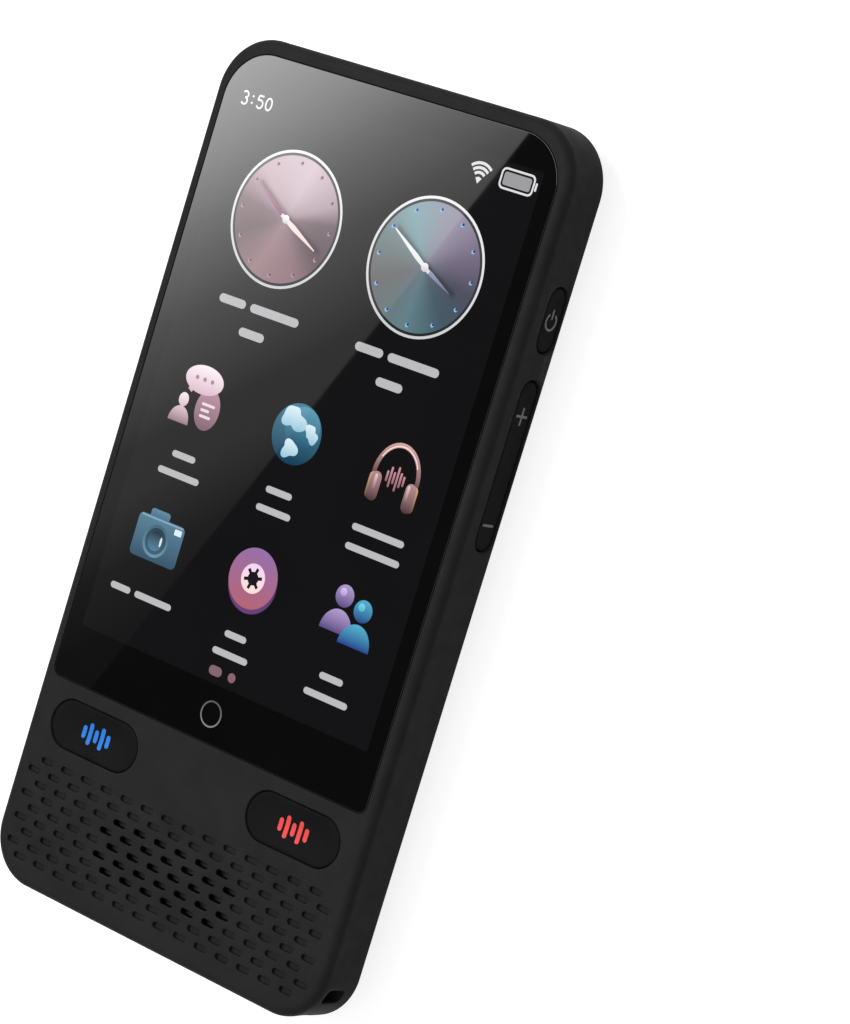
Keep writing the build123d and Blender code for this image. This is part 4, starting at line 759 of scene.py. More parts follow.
def front_shell():
    """Front housing: a rounded front edge, the flat front with its openings, the side walls with
    theirs, and the inner faces behind them, all joined into one closed shell."""
    patches = Patchwork()
    stations = OUTLINE.stations(*FRONT_STATIONS)

    def plan(inset):
        return OUTLINE.ring(stations, inset)

    def front_place(loop, depth):
        return with_height(loop, FRONT_Z - depth)

    blind = slot_centres(range(GRILLE_ROWS), SHORT_ROW)
    opened = slot_centres(range(*OPEN_ROWS), OPEN_SHORT)
    blind = blind[(np.abs(blind[:, None] - opened).sum(-1) > 0.01).all(1)]
    slots = [slot_loop(SLOT_LIP) + centre for centre in np.vstack([blind, opened])]
    talks = [talk_loop(side, TALK_GAP + TALK_LIP) for side in (-1, 1)]
    patches.sweep(quarter(FRONT_EDGE_R, 8)[::-1], plan, front_place)
    patches.flat(FRONT_Z, plan(FRONT_EDGE_R), [pocket_loop(POCKET_LIP), *talks, *slots])

    # Display pocket, its ledge and the opening behind it
    patches.sweep(throat(POCKET_LIP, FRONT_Z - POCKET_Z, 3), pocket_loop, front_place)
    opening = round_box(OPENING, OPENING_R, (0, OPENING_Y), turns=4)
    patches.flat(POCKET_Z, pocket_loop(), [opening])
    patches.tube(opening, (POCKET_Z, CEILING_Z))

    # Talk key openings
    for side in (-1, 1):
        patches.sweep(throat(TALK_LIP, FRONT_Z - CEILING_Z, 5),
                      lambda margin, key=side: talk_loop(key, TALK_GAP + margin), front_place)

    # Grille: blind slots end in a floor, open ones in the sound chamber. The deep walls of the open slots and
    # the whole chamber take the second finish, a near-black painted shade.
    blind_slot = throat(SLOT_LIP, SLOT_DEPTH, 2) + [(-SLOT_SIZE[1] / 2, SLOT_DEPTH)]
    for centre in blind:
        patches.sweep(blind_slot, lambda margin, at=centre: slot_loop(margin) + at, front_place)
    open_slot = throat(SLOT_LIP, FRONT_Z - CHAMBER_Z, 2)
    for centre in opened:
        for rows, finish in ((open_slot[:3], 0), (open_slot[2:], 1)):
            patches.sweep(rows, lambda margin, at=centre: slot_loop(margin) + at, front_place, finish)
    chamber = round_box(CHAMBER, CHAMBER_R, (0, GRILLE_Y), turns=3)
    patches.flat(CHAMBER_Z, chamber, [slot_loop() + centre for centre in opened], finish=1)
    patches.tube(chamber, (CHAMBER_Z, CEILING_Z), finish=1)

    # Side walls, outside and inside, with rounded rims at their openings
    holes = wall_holes()
    through, mouths = holes[:6], holes[6:]
    rims = [loop(rim_r) for loop, rim_r in holes]
    add_wall(patches, stations, SEAM_Z, FRONT_Z - FRONT_EDGE_R, rims, lambda s: 0 * s)
    add_wall(patches, stations, SEAM_Z, CEILING_Z, [loop(0.0) for loop, _ in through], inner_depth)
    for loop, rim_r in through:
        patches.sweep(throat(rim_r, WALL), loop, wall_place)
    inner = plan(inner_depth(stations))
    patches.grid([with_height(plan(0), SEAM_Z), with_height(inner, SEAM_Z)])
    patches.flat(CEILING_Z, inner, [opening, chamber, *(talk_loop(side, TALK_GAP) for side in (-1, 1))])
    add_lanyard_tunnel(patches, mouths)
    return patches


# ======================== rear cover
RIB_DEPTH = 0.22
RIB_SHARPNESS = 1.7
# Where the ribs end, and the length over which they fade: height, rib number, x, way from the camera
RIB_TOP, RIB_TOP_FADE = 62.4, 2.4
RIB_FOOT, RIB_FOOT_FADE = -59.5, 6
RIB_FIRST, RIB_FIRST_FADE = -3.6, 0.9
RIB_END, RIB_END_FADE = 28.2, 2.6
RIB_CAMERA, RIB_CAMERA_FADE = 1.6, 1.0
EDGE_BAND = 3.6
GRID_GAP = 0.2
# The ribs' course: height y, x of rib nought, and the pitch there
RIB_COURSE = np.array([
    (-60, -33.2, 3.1), (-52, -28.6, 3.1), (-46, -25.4, 3.1), (-40, -22.5, 3.08), (-32, -19.6, 3.0),
    (-24, -17.6, 2.88), (-16, -16.6, 2.78), (-8, -16.05, 2.68), (0, -16.15, 2.6), (8, -16.5, 2.52),
    (14, -17.1, 2.45), (20, -18.3, 2.35), (30, -20.2, 2.15), (38, -21.4, 2.0), (44, -22.1, 2.0),
    (50, -22.3, 1.95), (55, -21.9, 1.9), (62, -21.7, 1.85),
])


def rib_number(x, y):
    """Number of ribs from rib nought to a place: its distance from the rib's course over the pitch.
    Both are read between the given heights and evened out over a stretch of 7 mm."""
    around = y + np.linspace(-3.5, 3.5, 7)[:, None]
    course, pitch = (np.interp(around, RIB_COURSE[:, 0], RIB_COURSE[:, k]).mean(0) for k in (1, 2))
    return (x - course) / pitch


def rib_height(x, y, island):
    """Rib relief: rounded grooves at the whole numbers, a raised cosine to a power, faded out by soft
    steps at the top, the foot and both sides, and beside the camera's raised rim."""
    number = rib_number(x, y)
    groove = (0.5 + 0.5 * np.cos(2 * pi * number)) ** RIB_SHARPNESS
    share = (ease((RIB_TOP - y) / RIB_TOP_FADE) * ease((y - RIB_FOOT) / RIB_FOOT_FADE)
             * ease((number - RIB_FIRST) / RIB_FIRST_FADE) * ease((RIB_END - x) / RIB_END_FADE)
             * ease((island - RIB_CAMERA) / RIB_CAMERA_FADE))
    return RIB_DEPTH * groove * share


def island_distance(points):
    """Distance of each point outside the camera window's rounded rectangle."""
    across = np.abs(points - np.array(ISLAND_PLACE)) - np.array(ISLAND) / 2 + ISLAND_R
    return np.hypot(*np.maximum(across, 0).T) + np.minimum(across.max(-1), 0) - ISLAND_R


def on_back(points, _=0):
    """Points on the cover's outer face. Near the edge it is one arc, tangent to the flat back, that
    ends at the seam; round the camera it rises in a soft lip; and the ribs are cut between them."""
    drop = SEAM_Z - BACK_Z
    radius = (BACK_INSET ** 2 + drop ** 2) / (2 * drop)
    left = np.clip(BACK_INSET - inset_of(points), 0, BACK_INSET)
    island = island_distance(points)
    raised = ISLAND_RAISE * ease((ISLAND_GROOVE + ISLAND_LIP - island) / ISLAND_FALL)
    ribs = rib_height(points[:, 0], points[:, 1], island)
    return with_height(points, BACK_Z + radius - np.sqrt(radius ** 2 - left ** 2) - raised + ribs)


def island_loop(grow=0.0):
    """The camera window's rounded rectangle, grown by a margin."""
    return round_box(ISLAND, ISLAND_R, ISLAND_PLACE, grow, 12)


def spaced_loop(loop, step):
    """The same closed loop with extra points on its long sides, about a step apart."""
    parts = []
    for a, b in zip(loop, np.roll(loop, -1, 0)):
        count = max(1, round(np.hypot(*(b - a)) / step))
        parts.append(a + (b - a) * np.linspace(0, 1, count, endpoint=False)[:, None])
    return np.vstack(parts)


def lip_gate(points):
    """1 along the straight runs that carry the cover's centring lip, and 0 between them."""
    x, y = points.T
    # Each run: which side it is on, the coordinate along it, and its two ends
    runs = ((x > 28, y, -58, 3), (x > 28, y, 47, 57.3), (x < -28, y, -58, 6.9),
            (x < -28, y, 22.9, 57.3), (y > 60, x, -24.2, 24.2), (y < -60, x, -24.9, -6),
            (y < -60, x, 6, 11.5), (y < -60, x, 16.5, 24.9))
    return np.any([side & (low < along) & (along < high) for side, along, low, high in runs], axis=0) * 1.0


def rear_shell():
    """Rear cover: the curved edge carried round the outline, the ribbed back on a fine grid of
    points, the camera opening, and the inner faces with the centring lip."""
    patches = Patchwork()
    stations = OUTLINE.stations(*REAR_STATIONS)

    def plan(inset):
        return OUTLINE.ring(stations, inset)

    patches.sweep([(inset, 0) for inset in (*np.linspace(0, 3.2, 13), EDGE_BAND)], plan, on_back)
    margins = ISLAND_GROOVE + np.array([0, 0.35, 0.7, 0.8, 0.9, 1.0, 1.1, 1.2, 1.5, 1.9])
    opening, *lips = [spaced_loop(island_loop(margin), 0.8) for margin in margins]
    # The grid is fine across the ribs and coarser along them, but less so near both ends
    columns = np.arange(-29.2, 29.21, 0.26)
    rows = np.concatenate([np.arange(*span) for span in (
        (-62.4, -57.5, 0.5), (-57.5, 57.5, 0.95), (57.5, 62.5, 0.35))])
    field = np.stack(np.meshgrid(columns, rows), -1).reshape(-1, 2)
    beside = (inset_of(field) > EDGE_BAND + GRID_GAP) & (island_distance(field) > margins[-1] + GRID_GAP)
    field = field[beside]
    points, faces, _ = sheet(plan(EDGE_BAND), [opening], inner=[*lips, field])
    patches.add(on_back(points), faces)
    patches.grid([on_back(opening), with_height(opening, FLOOR_Z)])

    # Inside: seam face, lip with gaps, sloped wall and floor
    lip_z = SEAM_Z + (LIP_TOP_Z - SEAM_Z) * lip_gate(plan(LIP_OUT))
    patches.sweep([(0, SEAM_Z), (LIP_OUT, SEAM_Z), (LIP_OUT, lip_z), (LIP_IN, lip_z), (LIP_IN, SEAM_Z),
                   (FLOOR_INSET, FLOOR_Z)], plan)
    patches.flat(FLOOR_Z, plan(FLOOR_INSET), [opening])
    return patches


# ======================== glass with its picture
DIALS = ((-13.0, 41.6), (13.4, 41.4))
DIAL_R = 10.2
DIAL_BEZEL = 0.4
DIAL_SHADOW = 0.8
DIAL_DOTS = 1.75
HAND_SHADOW = np.array([0.62, 0.12])
ICON_PLACES = ((-18.6, 12.6), (0.2, 12.8), (19.2, 12.4), (-18.9, -9.1), (0.2, -9.1), (18.7, -9.2))
ICON_REACH = 6.4
PICTURE_GRID = 0.47
PICTURE_SHIFT = 0.0137
HOME_RING = (0.0, -29.9)


def oval(x, y, width, height, turns=8):
    """Ellipse as a loop: a circle stretched to a width and a height."""
    return round_box((2, 2), 1, turns=turns) * (width / 2, height / 2) + (x, y)


def bar(centre, size, radius=None):
    """Bar with rounded corners; without a radius its ends are round."""
    return round_box(size, min(size) / 2 if radius is None else radius, centre, turns=4)


def pebble(x, y, radius, waves):
    """Smooth closed blob: a circle whose radius sways with the angle by waves of (count, height, turn)."""
    angle = np.linspace(0, 2 * pi, 40, endpoint=False)
    reach = radius * (1 + sum(height * np.cos(count * angle + turn) for count, height, turn in waves))
    return np.column_stack([x + reach * np.cos(angle), y + reach * np.sin(angle)])


def ribbon(points, width):
    """Line of a width along points: the points moved half a width to each side of the path."""
    path = np.array(points, float)
    along = np.gradient(path, axis=0)
    along /= np.hypot(*along.T)[:, None]
    side = np.column_stack([-along[:, 1], along[:, 0]]) * width / 2
    return np.vstack([path + side, (path - side)[::-1]])


def arc(centre, radius, start, end, count=12):
    """Points of an arc between two angles in degrees; radius is one number or (x, y)."""
    angles = np.radians(np.linspace(start, end, count))
    return np.array(centre) + np.column_stack([np.cos(angles), np.sin(angles)]) * np.array(radius)


def mark(loop, high, low=None):
    """One lit shape: its loop, and its colour, which runs evenly from the foot to the top."""
    top_tone, foot_tone = linear(high), linear(low or high)
    foot, top = loop[:, 1].min(), loop[:, 1].max()
    return loop, lambda points: foot_tone + (top_tone - foot_tone) * (points[:, 1:] - foot) / (top - foot)


def digit(shape, x, y, height, width):
    """Strokes of a plain digit, drawn in a box of its height."""
    half, w = height / 2, height * 0.27
    if shape == "0":
        size = (w, half - width / 2)
        return [ribbon(arc((x, y), size, start, start + 180, 14), width) for start in (90, -90)]
    if shape == "3":
        return [ribbon(arc((x, y + half * 0.47), (w * 0.92, half * 0.45), 150, -90), width),
                ribbon(arc((x, y - half * 0.45), (w, half * 0.5), 90, -150), width)]
    top = y + half - width / 2
    stem = [(x + w * 0.9, top), (x - w * 0.7, top), (x - w * 0.85, y + half * 0.12)]
    bowl = arc((x, y - half * 0.33), (w * 1.02, half * 0.6), 135, -150, 14)
    return [ribbon(stem[:2], width), ribbon(stem[1:], width), ribbon(bowl, width)]


def away_from(points, start, end):
    """Distance of each point from the line between two places."""
    run = end - start
    share = np.clip((points - start) @ run / (run @ run), 0, 1)
    return np.hypot(*(points - start - share[:, None] * run).T)


def clock(centre, fans, dot, rim, hands):
    """Clock face at ten to four: bezel, shadow line, dial, twelve dots, two pointed hands and a hub.
    The dial's colour turns with the angle between the tones of its fans, grows even towards the
    hub, and is darkened beside each hand by a bell curve of the distance from the hand's shadow."""
    centre = np.array(centre)
    angles = np.radians([angle for angle, _ in fans])
    tones = np.array([linear(colour) for _, colour in fans])
    tips = [arc(centre, reach, degrees, degrees, 1)[0] for degrees, reach, _, _, _ in hands]

    def dial(points):
        across = points - centre
        turn = np.arctan2(across[:, 1], across[:, 0])
        colour = np.stack([np.interp(turn, angles, tone, period=2 * pi) for tone in tones.T], -1)
        even = np.exp(-np.hypot(*across.T) / 2)[:, None]
        colour = colour * (1 - even) + tones.mean(0) * even
        for tip in tips:
            away = away_from(points, centre + HAND_SHADOW, tip + HAND_SHADOW)
            colour = colour * (1 - 0.5 * np.exp(-(away / 0.42) ** 2))[:, None]
        return colour

    marks = [mark(disc(centre, DIAL_R, 18), "f3f3f4", "cecfd1"),
             mark(disc(centre, DIAL_R - DIAL_BEZEL, 18), "424446", "222426"),
             (disc(centre, DIAL_R - DIAL_SHADOW, 18), dial)]
    for spot in arc(centre, DIAL_R - DIAL_DOTS, 0, 330):
        marks += [mark(disc(spot - 0.07, 0.31, 3), rim), mark(disc(spot + 0.05, 0.22, 3), dot)]
    for degrees, reach, width, high, low in hands:
        turn = radians(degrees)
        along, side = np.array([np.cos(turn), np.sin(turn)]), np.array([-np.sin(turn), np.cos(turn)])
        half = [(-1.1, 0.32), (0.28 * reach, 0.5), (reach, 0.1)]
        edge = half + [(place, -share) for place, share in reversed(half)]
        marks.append(mark(np.array([centre + place * along + share * width * side for place, share in edge]),
                          high, low))
    marks.append(mark(disc(centre, 0.64, 6), "fcfcfc", "ceced2"))
    return marks


def word_bars(x, y, widths, height, gap=0.9):
    """A line of plain soft bars in the place of a label, centred on a point."""
    ends = np.cumsum(np.array(widths) + gap)
    middles = x + ends - gap - np.array(widths) / 2 - (ends[-1] - gap) / 2
    return [mark(bar((middle, y), (width, height)), "bcbcbf") for middle, width in zip(middles, widths)]


def chat_shapes():
    """Talk bubbles over a figure: a wide one with three dots, and an upright one with lines."""
    shapes = [(ribbon([(-2.5, 0.7), (-1.6, 2.4)], 0.9), "d6b8c6"),
              (oval(1.7, -1.2, 4.7, 6.2), "bc92a4", "846070"),
              (oval(-0.3, 2.8, 7.4, 4.3, 10), "fcf0f6", "dcb8ca"),
              (oval(-3.1, -0.9, 1.9, 2.1), "faecf2", "d6bec8"),
              (arc((-3.1, -4.4), (2.0, 2.5), 0, 180, 16), "dec4ce", "967a86")]
    shapes += [(bar((1.7 + shift, -1.4 - row), (width, 0.42)), "f0dce6")
               for row, width, shift in ((-0.9, 2.6, 0), (0, 1.7, -0.4), (0.9, 2.2, -0.1))]
    return shapes + [(disc((-0.3 + step, 2.9), 0.34, 3), "b0869a") for step in (-1.5, 0, 1.5)]


def globe_shapes():
    """Ball lit from the upper right with three patches of land."""
    land = [pebble(-1.2, 2.0, 1.9, ((2, 0.25, 0.6), (3, 0.16, 1.4), (5, 0.08, 0.3))),
            pebble(-0.6, -2.1, 1.35, ((1, 0.2, 1.2), (3, 0.2, 0.2), (4, 0.08, 2.0))),
            pebble(2.6, 0.7, 1.2, ((2, 0.3, 1.7), (5, 0.1, 0.0)))]
    ball = [(disc((0, 0), 4.5, 12), "40809a", "123a54"),
            (oval(0.7, 1.2, 6.4, 6.0, 12), "5c9eb6", "225670")]
    return ball + [(patch, "e2f2fa", "94c8de") for patch in land]


def headphone_shapes():
    """Headphones: a band over two cushions, with sound bars between them."""
    shapes = [(ribbon(arc((0, -0.4), (3.9, 4.7), -8, 188, 24), 0.72), "d6a8a6", "5c3e42"),
              (ribbon(arc((0, -0.45), (3.78, 4.6), 30, 150, 16), 0.2), "faded6")]
    for side in (-1, 1):
        shapes += [(bar((side * 3.75, -2.5), (1.4, 3.9), 0.7), "d4aa82", "604232"),
                   (bar((side * 3.2, -2.5), (1.9, 4.3), 0.9), "b88e90", "483036"),
                   (bar((side * 3.0 - 0.25, -1.9), (0.5, 2.4)), "ecccca", "825e62")]
    return shapes + [(bar((0.6 * number - 1.5, -0.5), (0.36, height)), "ce969e", "96646e")
                     for number, height in enumerate((1.6, 3.0, 1.8, 3.6, 2.2, 1.5))]


def camera_shapes():
    """Camera: finder hump, body with a lamp, and a lens of three rings with a glint."""
    return [
        (bar((-0.7, 3.2), (3.8, 1.8), 0.5), "5c88a0", "40647c"),
        (bar((0, -0.3), (9.2, 6.5), 0.8), "568098", "34546a"),
        (bar((0, 2.7), (8.4, 0.26), 0.13), "80aac0"),
        (bar((3.4, 1.9), (1.4, 0.9), 0.15), "e2f0f8"),
        (disc((-0.3, -0.5), 2.45, 9), "3e6278", "6c96ac"),
        (disc((-0.3, -0.5), 2.0, 9), "1e384a", "3e647c"),
        (disc((-0.3, -0.5), 1.45, 9), "182836", "56849e"),
        (oval(0.72, -0.35, 0.42, 1.5, 4), "deecf4"),
    ]


def reel_shapes():
    """Tape reel: a disc with its edge below it, a pale centre and six dark notches."""
    shapes = [(disc((0.2, -0.65), 4.5, 12), "462c54", "68427c"),
              (disc((0, 0), 4.5, 12), "9670a8", "b46474"),
              (disc((0, 0), 2.2, 9), "f4d6f6", "ffe2d8")]
    shapes += [(ribbon([arc((0, 0), r, turn, turn, 1)[0] for r in (0.7, 1.65)], 0.5), "18121c")
               for turn in range(15, 375, 60)]
    return shapes + [(disc((0, 0), 1.0, 6), "18121c")]


def people_shapes():
    """Two figures side by side: a head over rounded shoulders."""
    shapes = []
    for x, y, glint, high, low in (
            (-1.9, 0.7, "dac4f6", "b29cce", "5c4884"), (1.9, -0.4, "7cd8f6", "54b0ce", "24428c")):
        shapes += [(arc((x, y - 3.2), (2.9, 3.4), 0, 180, 18), high, low),
                   (disc((x, y + 2.2), 1.65, 7), high, low),
                   (disc((x - 0.4, y + 2.7), 0.6, 4), glint, high)]
    return shapes


def screen_marks():
    """The picture, from the back to the front: lit area, status row, clocks, icons and page dots."""
    ink = "e2e2e4"
    row_y, beam_x = 56.7, 17.8
    marks = [mark(round_box((56.4, 84.6), 0.4, (0.1, 16.7), turns=2), "0c0c0e")]
    status = []
    for shape, x in (("3", -26.9), ("5", -23.9), ("0", -22.2)):
        status += digit(shape, x, row_y, 2.05, 0.28)
    status += [disc((-25.4, row_y + step), 0.18, 3) for step in (-0.5, 0.5)]
    status += [ribbon(arc((beam_x, 55.1), radius, 48, 132, 10), 0.42) for radius in (1.3, 1.98, 2.66)]
    status += [np.array([(beam_x, 54.8), (18.35, 55.6), (beam_x, 55.8), (17.25, 55.6)]),
               bar((27.6, row_y), (0.35, 1.2), 0.15)]
    marks += [mark(loop, ink) for loop in status]
    marks += [mark(bar((24.3, row_y), size, radius), colour) for size, radius, colour in (
        ((6.0, 3.1), 0.8, ink), ((5.4, 2.5), 0.55, "18181c"), ((4.8, 1.9), 0.35, "9e9ea0"))]
    marks += clock(
        DIALS[0], ((-30, "604e56"), (8, "706068"), (26, "b29ea6"), (75, "d4c0ca"), (135, "c4acb4"),
                   (172, "806a70"), (205, "705e62"), (250, "9c7e84"), (300, "8e7078")), "684660", "b296a0",
        ((150, 7.9, 0.62, "ba84a0", "7e4a68"), (-25, 7.3, 0.84, "ffe2e6", "fad6da")))
    marks += clock(
        DIALS[1], ((-50, "425864"), (-12, "4e4e5c"), (25, "7a6c84"), (70, "a09aac"), (125, "8caeb4"),
                   (160, "7a8a8c"), (205, "706e6e"), (265, "628088")), "1c4a94", "96c4e2",
        ((-25, 5.9, 0.66, "b0b2d6", "6e708c"), (150, 8.0, 0.78, "ffffff", "e2e4e8")))
    for x, _ in DIALS:
        marks += word_bars(x, 27.8, (5.2, 9.4), 1.3) + word_bars(x, 24.0, (4.9,), 1.3)
    icons = ((chat_shapes(), ((4.6,), (8.2,))), (globe_shapes(), ((5.0,), (6.6,))),
             (headphone_shapes(), ((9.6,), (10.0,))), (camera_shapes(), ((4.0, 7.4),)),
             (reel_shapes(), ((4.2,), (6.8,))), (people_shapes(), ((4.4,), (8.2,))))
    for (x, y), (shapes, lines) in zip(ICON_PLACES, icons):
        marks += [mark(loop + (x, y), *colours) for loop, *colours in shapes]
        for number, widths in enumerate(lines):
            marks += word_bars(x, y - 8.9 - 2.9 * number, widths, 1.0)
    dots = (bar((-1.5, -23.8), (2.5, 1.45)), disc((1.7, -23.8), 0.72, 5))
    marks += [mark(loop, "86666e") for loop in dots]
    # The home ring lies outside the lit area yet glows with the picture, a painted glow, and its grey is
    # painted lighter towards its foot
    return marks + [mark(disc(HOME_RING, 1.98), "5c5c5e", "8c8c8e"), mark(disc(HOME_RING, 1.74), "000000")]


def cover_glass():
    """Cover glass: its rounded edge carried round the outline, a flat back, and a front cut along the
    picture's outlines. Each part takes the colour of the last mark that holds it."""
    patches = Patchwork()
    low, high = GLASS_LOW[2], GLASS_HIGH[2]
    rim = [(-inset, high - drop) for inset, drop in quarter(GLASS_EDGE_R)]
    front = glass_loop(-GLASS_EDGE_R)
    patches.sweep([(-GLASS_EDGE_R, low), (0, low + GLASS_EDGE_R), *rim[::-1]], glass_loop)
    patches.flat(low, front)
    marks = screen_marks()
    span = np.arange(-60, 60, PICTURE_GRID) + PICTURE_SHIFT
    field = np.stack(np.meshgrid(span, span), -1).reshape(-1, 2)
    near = [np.hypot(*(field - place).T) < reach
            for places, reach in ((DIALS, DIAL_R), (ICON_PLACES, ICON_REACH)) for place in places]
    field = field[np.any(near, axis=0)]
    flat, faces, owners = sheet(front, [loop for loop, _ in marks], [field], keep_all=True)
    held = np.array([(face, number) for face, owner in enumerate(owners) for number in owner])
    colours = np.zeros((len(faces), 3, 3))
    for number, (_, shade) in enumerate(marks, start=1):
        part = held[held[:, 1] == number, 0]
        colours[part] = shade(flat[faces[part]].reshape(-1, 2)).reshape(-1, 3, 3)
    patches.add(with_height(flat, high), faces, 0, colours.reshape(-1, 3))
    return patches


# ======================== keys
def raised_mark(shapes, place, thickness=PRINT):
    """Printed mark: each shape, a loop or a loop with holes, as a thin plate that stands a thickness
    over what place gives."""
    patches = Patchwork()
    for shape in shapes:
        loop, *holes = shape if isinstance(shape, tuple) else (shape,)
        points, faces, _ = sheet(loop, holes)
        for level in (-thickness, thickness):
            patches.add(place(points, level), faces)
        for ring in (loop, *holes):
            patches.grid([place(ring, -thickness), place(ring, thickness)])
    return patches


def talk_dish(rho):
    """Depth of the finger dish at a distance rho from the key's middle line: a shallow parabola."""
    return DISH_DEPTH * (1 - np.clip(rho / (TALK_SIZE[1] / 2 - DISH_EDGE), 0, 1) ** 2)


def talk_key(side):
    """Talk key: dish, rounded rim, wall, retaining flange and flat back, and the plunger under it."""
    patches = Patchwork()
    half, top, flange_z = TALK_SIZE[1] / 2, TALK_HIGH[2], CEILING_Z - FLANGE_GAP
    grow, back_z = TALK_FLANGE[0], flange_z - TALK_FLANGE[1]
    dish = [(rho - half, top - talk_dish(rho)) for rho in np.linspace(0, half - TALK_RIM_R, 14)]
    rim = [(TALK_GROW - inset, top - drop) for inset, drop in quarter(TALK_RIM_R)]
    back = [(TALK_GROW, flange_z), (grow, flange_z), (grow, back_z), (-half, back_z)]
    patches.sweep(dish + rim[1:] + back, lambda margin: talk_loop(side, margin))
    patches.stub((side * TALK_X, TALK_Y), PLUNGER_R, TALK_LOW[2], flange_z - PLUNGER_ROOT, 4)
    return patches


def talk_mark(side):
    """Sound sign of five rounded bars on the key's middle line, laid on the dish of a talk key."""

    def place(points, level):
        return with_height(points, TALK_HIGH[2] - talk_dish(np.abs(points[:, 1] - TALK_Y)) + level)

    bars = [bar((side * SOUND_SIGN_X + step, SOUND_SIGN_Y), (SOUND_BAR_WIDTH, height))
            for step, height in ((-2.4, 2.0), (-1.2, 3.4), (0, 2.0), (1.2, 3.4), (2.4, 2.0))]
    return raised_mark([spaced_loop(loop, 0.5) for loop in bars], place)


def on_side_face(points, level):
    """Puts points drawn in (y, z) a level over the outer face of the side keys."""
    return np.column_stack([np.broadcast_to(POWER_HIGH[0] + level, len(points)), points])


def side_key(centre_y, length, flange_x, tips, bead_x=None):
    """Side key: a nearly flat stadium with a rounded rim, the flange behind the wall, plungers over
    the switches, and for the rocker the bead that it turns on."""
    patches = Patchwork()
    half = KEY_RECESS_WIDTH / 2 - KEY_GAP
    size, depth = (length, KEY_RECESS_WIDTH), flange_x - POWER_HIGH[0]
    reach, back_x = length / 2 + KEY_FLANGE[0], flange_x - KEY_FLANGE[1]
    rim = [(-inset, -drop) for inset, drop in quarter(KEY_RIM_R)]
    section = [(-half, -KEY_DISH), (-half / 2, -KEY_DISH / 2), *rim, (0, depth), (-half, depth)]
    centre = (centre_y, KEY_Z)
    patches.sweep(section, lambda margin: round_box(size, size[1] / 2, centre, margin - KEY_GAP, 12),
                  on_side_face)
    blocks = [(back_x, flange_x, centre_y, reach, half)]
    blocks += [(tip_x, back_x, tip_y, TIP_HALF, TIP_HALF) for tip_y, tip_x in tips]
    for low_x, high_x, y, half_y, half_z in blocks:
        patches.block((low_x, y - half_y, KEY_Z - half_z), (high_x + OVERLAP, y + half_y, KEY_Z + half_z))
    if bead_x:
        patches.stub((bead_x, centre_y), PIVOT_R, KEY_Z - half, KEY_Z + half, 5)
    return patches


def power_sign():
    """Power sign: an open ring with a bar in its gap, which faces the handset's top."""
    centre, radius, width = np.array([POWER_SIGN_Y, KEY_Z]), 1.2, 0.32
    return [ribbon(arc(centre, radius, 35, 325, 28), width), bar(centre + (1.05, 0), (1.5, width))]


def volume_signs():
    """Plus sign near the top end of the rocker and minus sign near its foot."""
    arm, half = 1.3, 0.18
    corner = np.array([(half, half), (arm, half), (arm, -half)])
    turn = np.array([[0, -1], [1, 0]])
    plus = np.vstack([corner @ np.linalg.matrix_power(turn, count) for count in range(4)])
    return [plus + (PLUS_Y, KEY_Z), bar((MINUS_Y, KEY_Z), (0.36, 2.5), 0.1)]


# ======================== rear camera
def ring_loop(inset=0.0):
    """Rounded square round the camera, drawn inwards by an inset."""
    return round_box(RING, RING_R, CAMERA, -inset, 12)


def camera_window():
    """Camera plate: rounded outer edge, recess for the ring, hole for the barrel, and the flange. Its
    side takes the second finish."""
    patches = Patchwork()
    face, grow, back = WINDOW_Z + PRINT, PLATE_FLANGE[0], FLOOR_Z + PLATE_FLANGE[1]
    rim = [(-inset, face + drop) for inset, drop in quarter(PLATE_EDGE_R, 5)]
    recess, barrel = ring_loop(RING_INSET - RING_GAP), disc(CAMERA, BARREL_R)
    patches.sweep(rim, island_loop)
    patches.sweep([rim[-1], (0, FLOOR_Z), (grow, FLOOR_Z), (grow, back)], island_loop, finish=1)
    patches.flat(face, island_loop(-PLATE_EDGE_R), [recess])
    patches.tube(recess, (face, RING_DEPTH), finish=1)
    patches.flat(RING_DEPTH, recess, [barrel])
    patches.tube(barrel, (RING_DEPTH, back))
    patches.flat(back, island_loop(grow), [barrel])
    return patches


def camera_sign():
    """Plain camera pictogram, printed on the plate: a body outline, a finder bar, a lens ring and a
    lamp dot."""
    middle = (0, 0)
    shapes = [(bar(middle, (6.8, 4.7), 1.1), bar(middle, (5.9, 3.8), 0.7)), bar((0, 2.75), (2.4, 0.42)),
              (disc(middle, 1.3, 8), disc(middle, 0.85, 8)), disc((2.15, 1.15), 0.28, 4)]
    place = np.array([CAMERA[0], CAMERA_SIGN_Y])
    return raised_mark(shapes, lambda points, level: with_height(points + place, WINDOW_Z + PRINT + level))


def camera_ring():
    """Metal ring: a bar with two rounded edges carried round the rounded square."""
    patches = Patchwork()
    rim = quarter(RING_EDGE_R, 3)
    outer = [(RING_INSET + inset, z) for inset, z in rim[::-1]]
    inner = [(RING_LINE - inset, z) for inset, z in rim]
    low_outer, low_inner = (RING_INSET, RING_DEPTH), (RING_LINE, RING_DEPTH)
    patches.sweep([low_outer, *outer, *inner, low_inner, low_outer], ring_loop)
    return patches


def camera_pane():
    """Dark pane inside the ring, with a bevelled hole for the lens."""
    patches = Patchwork()
    edge, front = ring_loop(RING_LINE + PANE_GAP), RING_DEPTH - PANE_DEPTH
    narrow = LENS_R + LENS_GAP
    wide = narrow + LENS_BEVEL
    patches.tube(edge, (RING_DEPTH, front))
    patches.flat(front, edge, [disc(CAMERA, wide)])
    bevel = [(wide, front), (narrow, front + LENS_BEVEL), (narrow, RING_DEPTH)]
    patches.sweep(bevel, lambda radius: disc(CAMERA, radius))
    patches.flat(RING_DEPTH, edge, [disc(CAMERA, narrow)])
    return patches


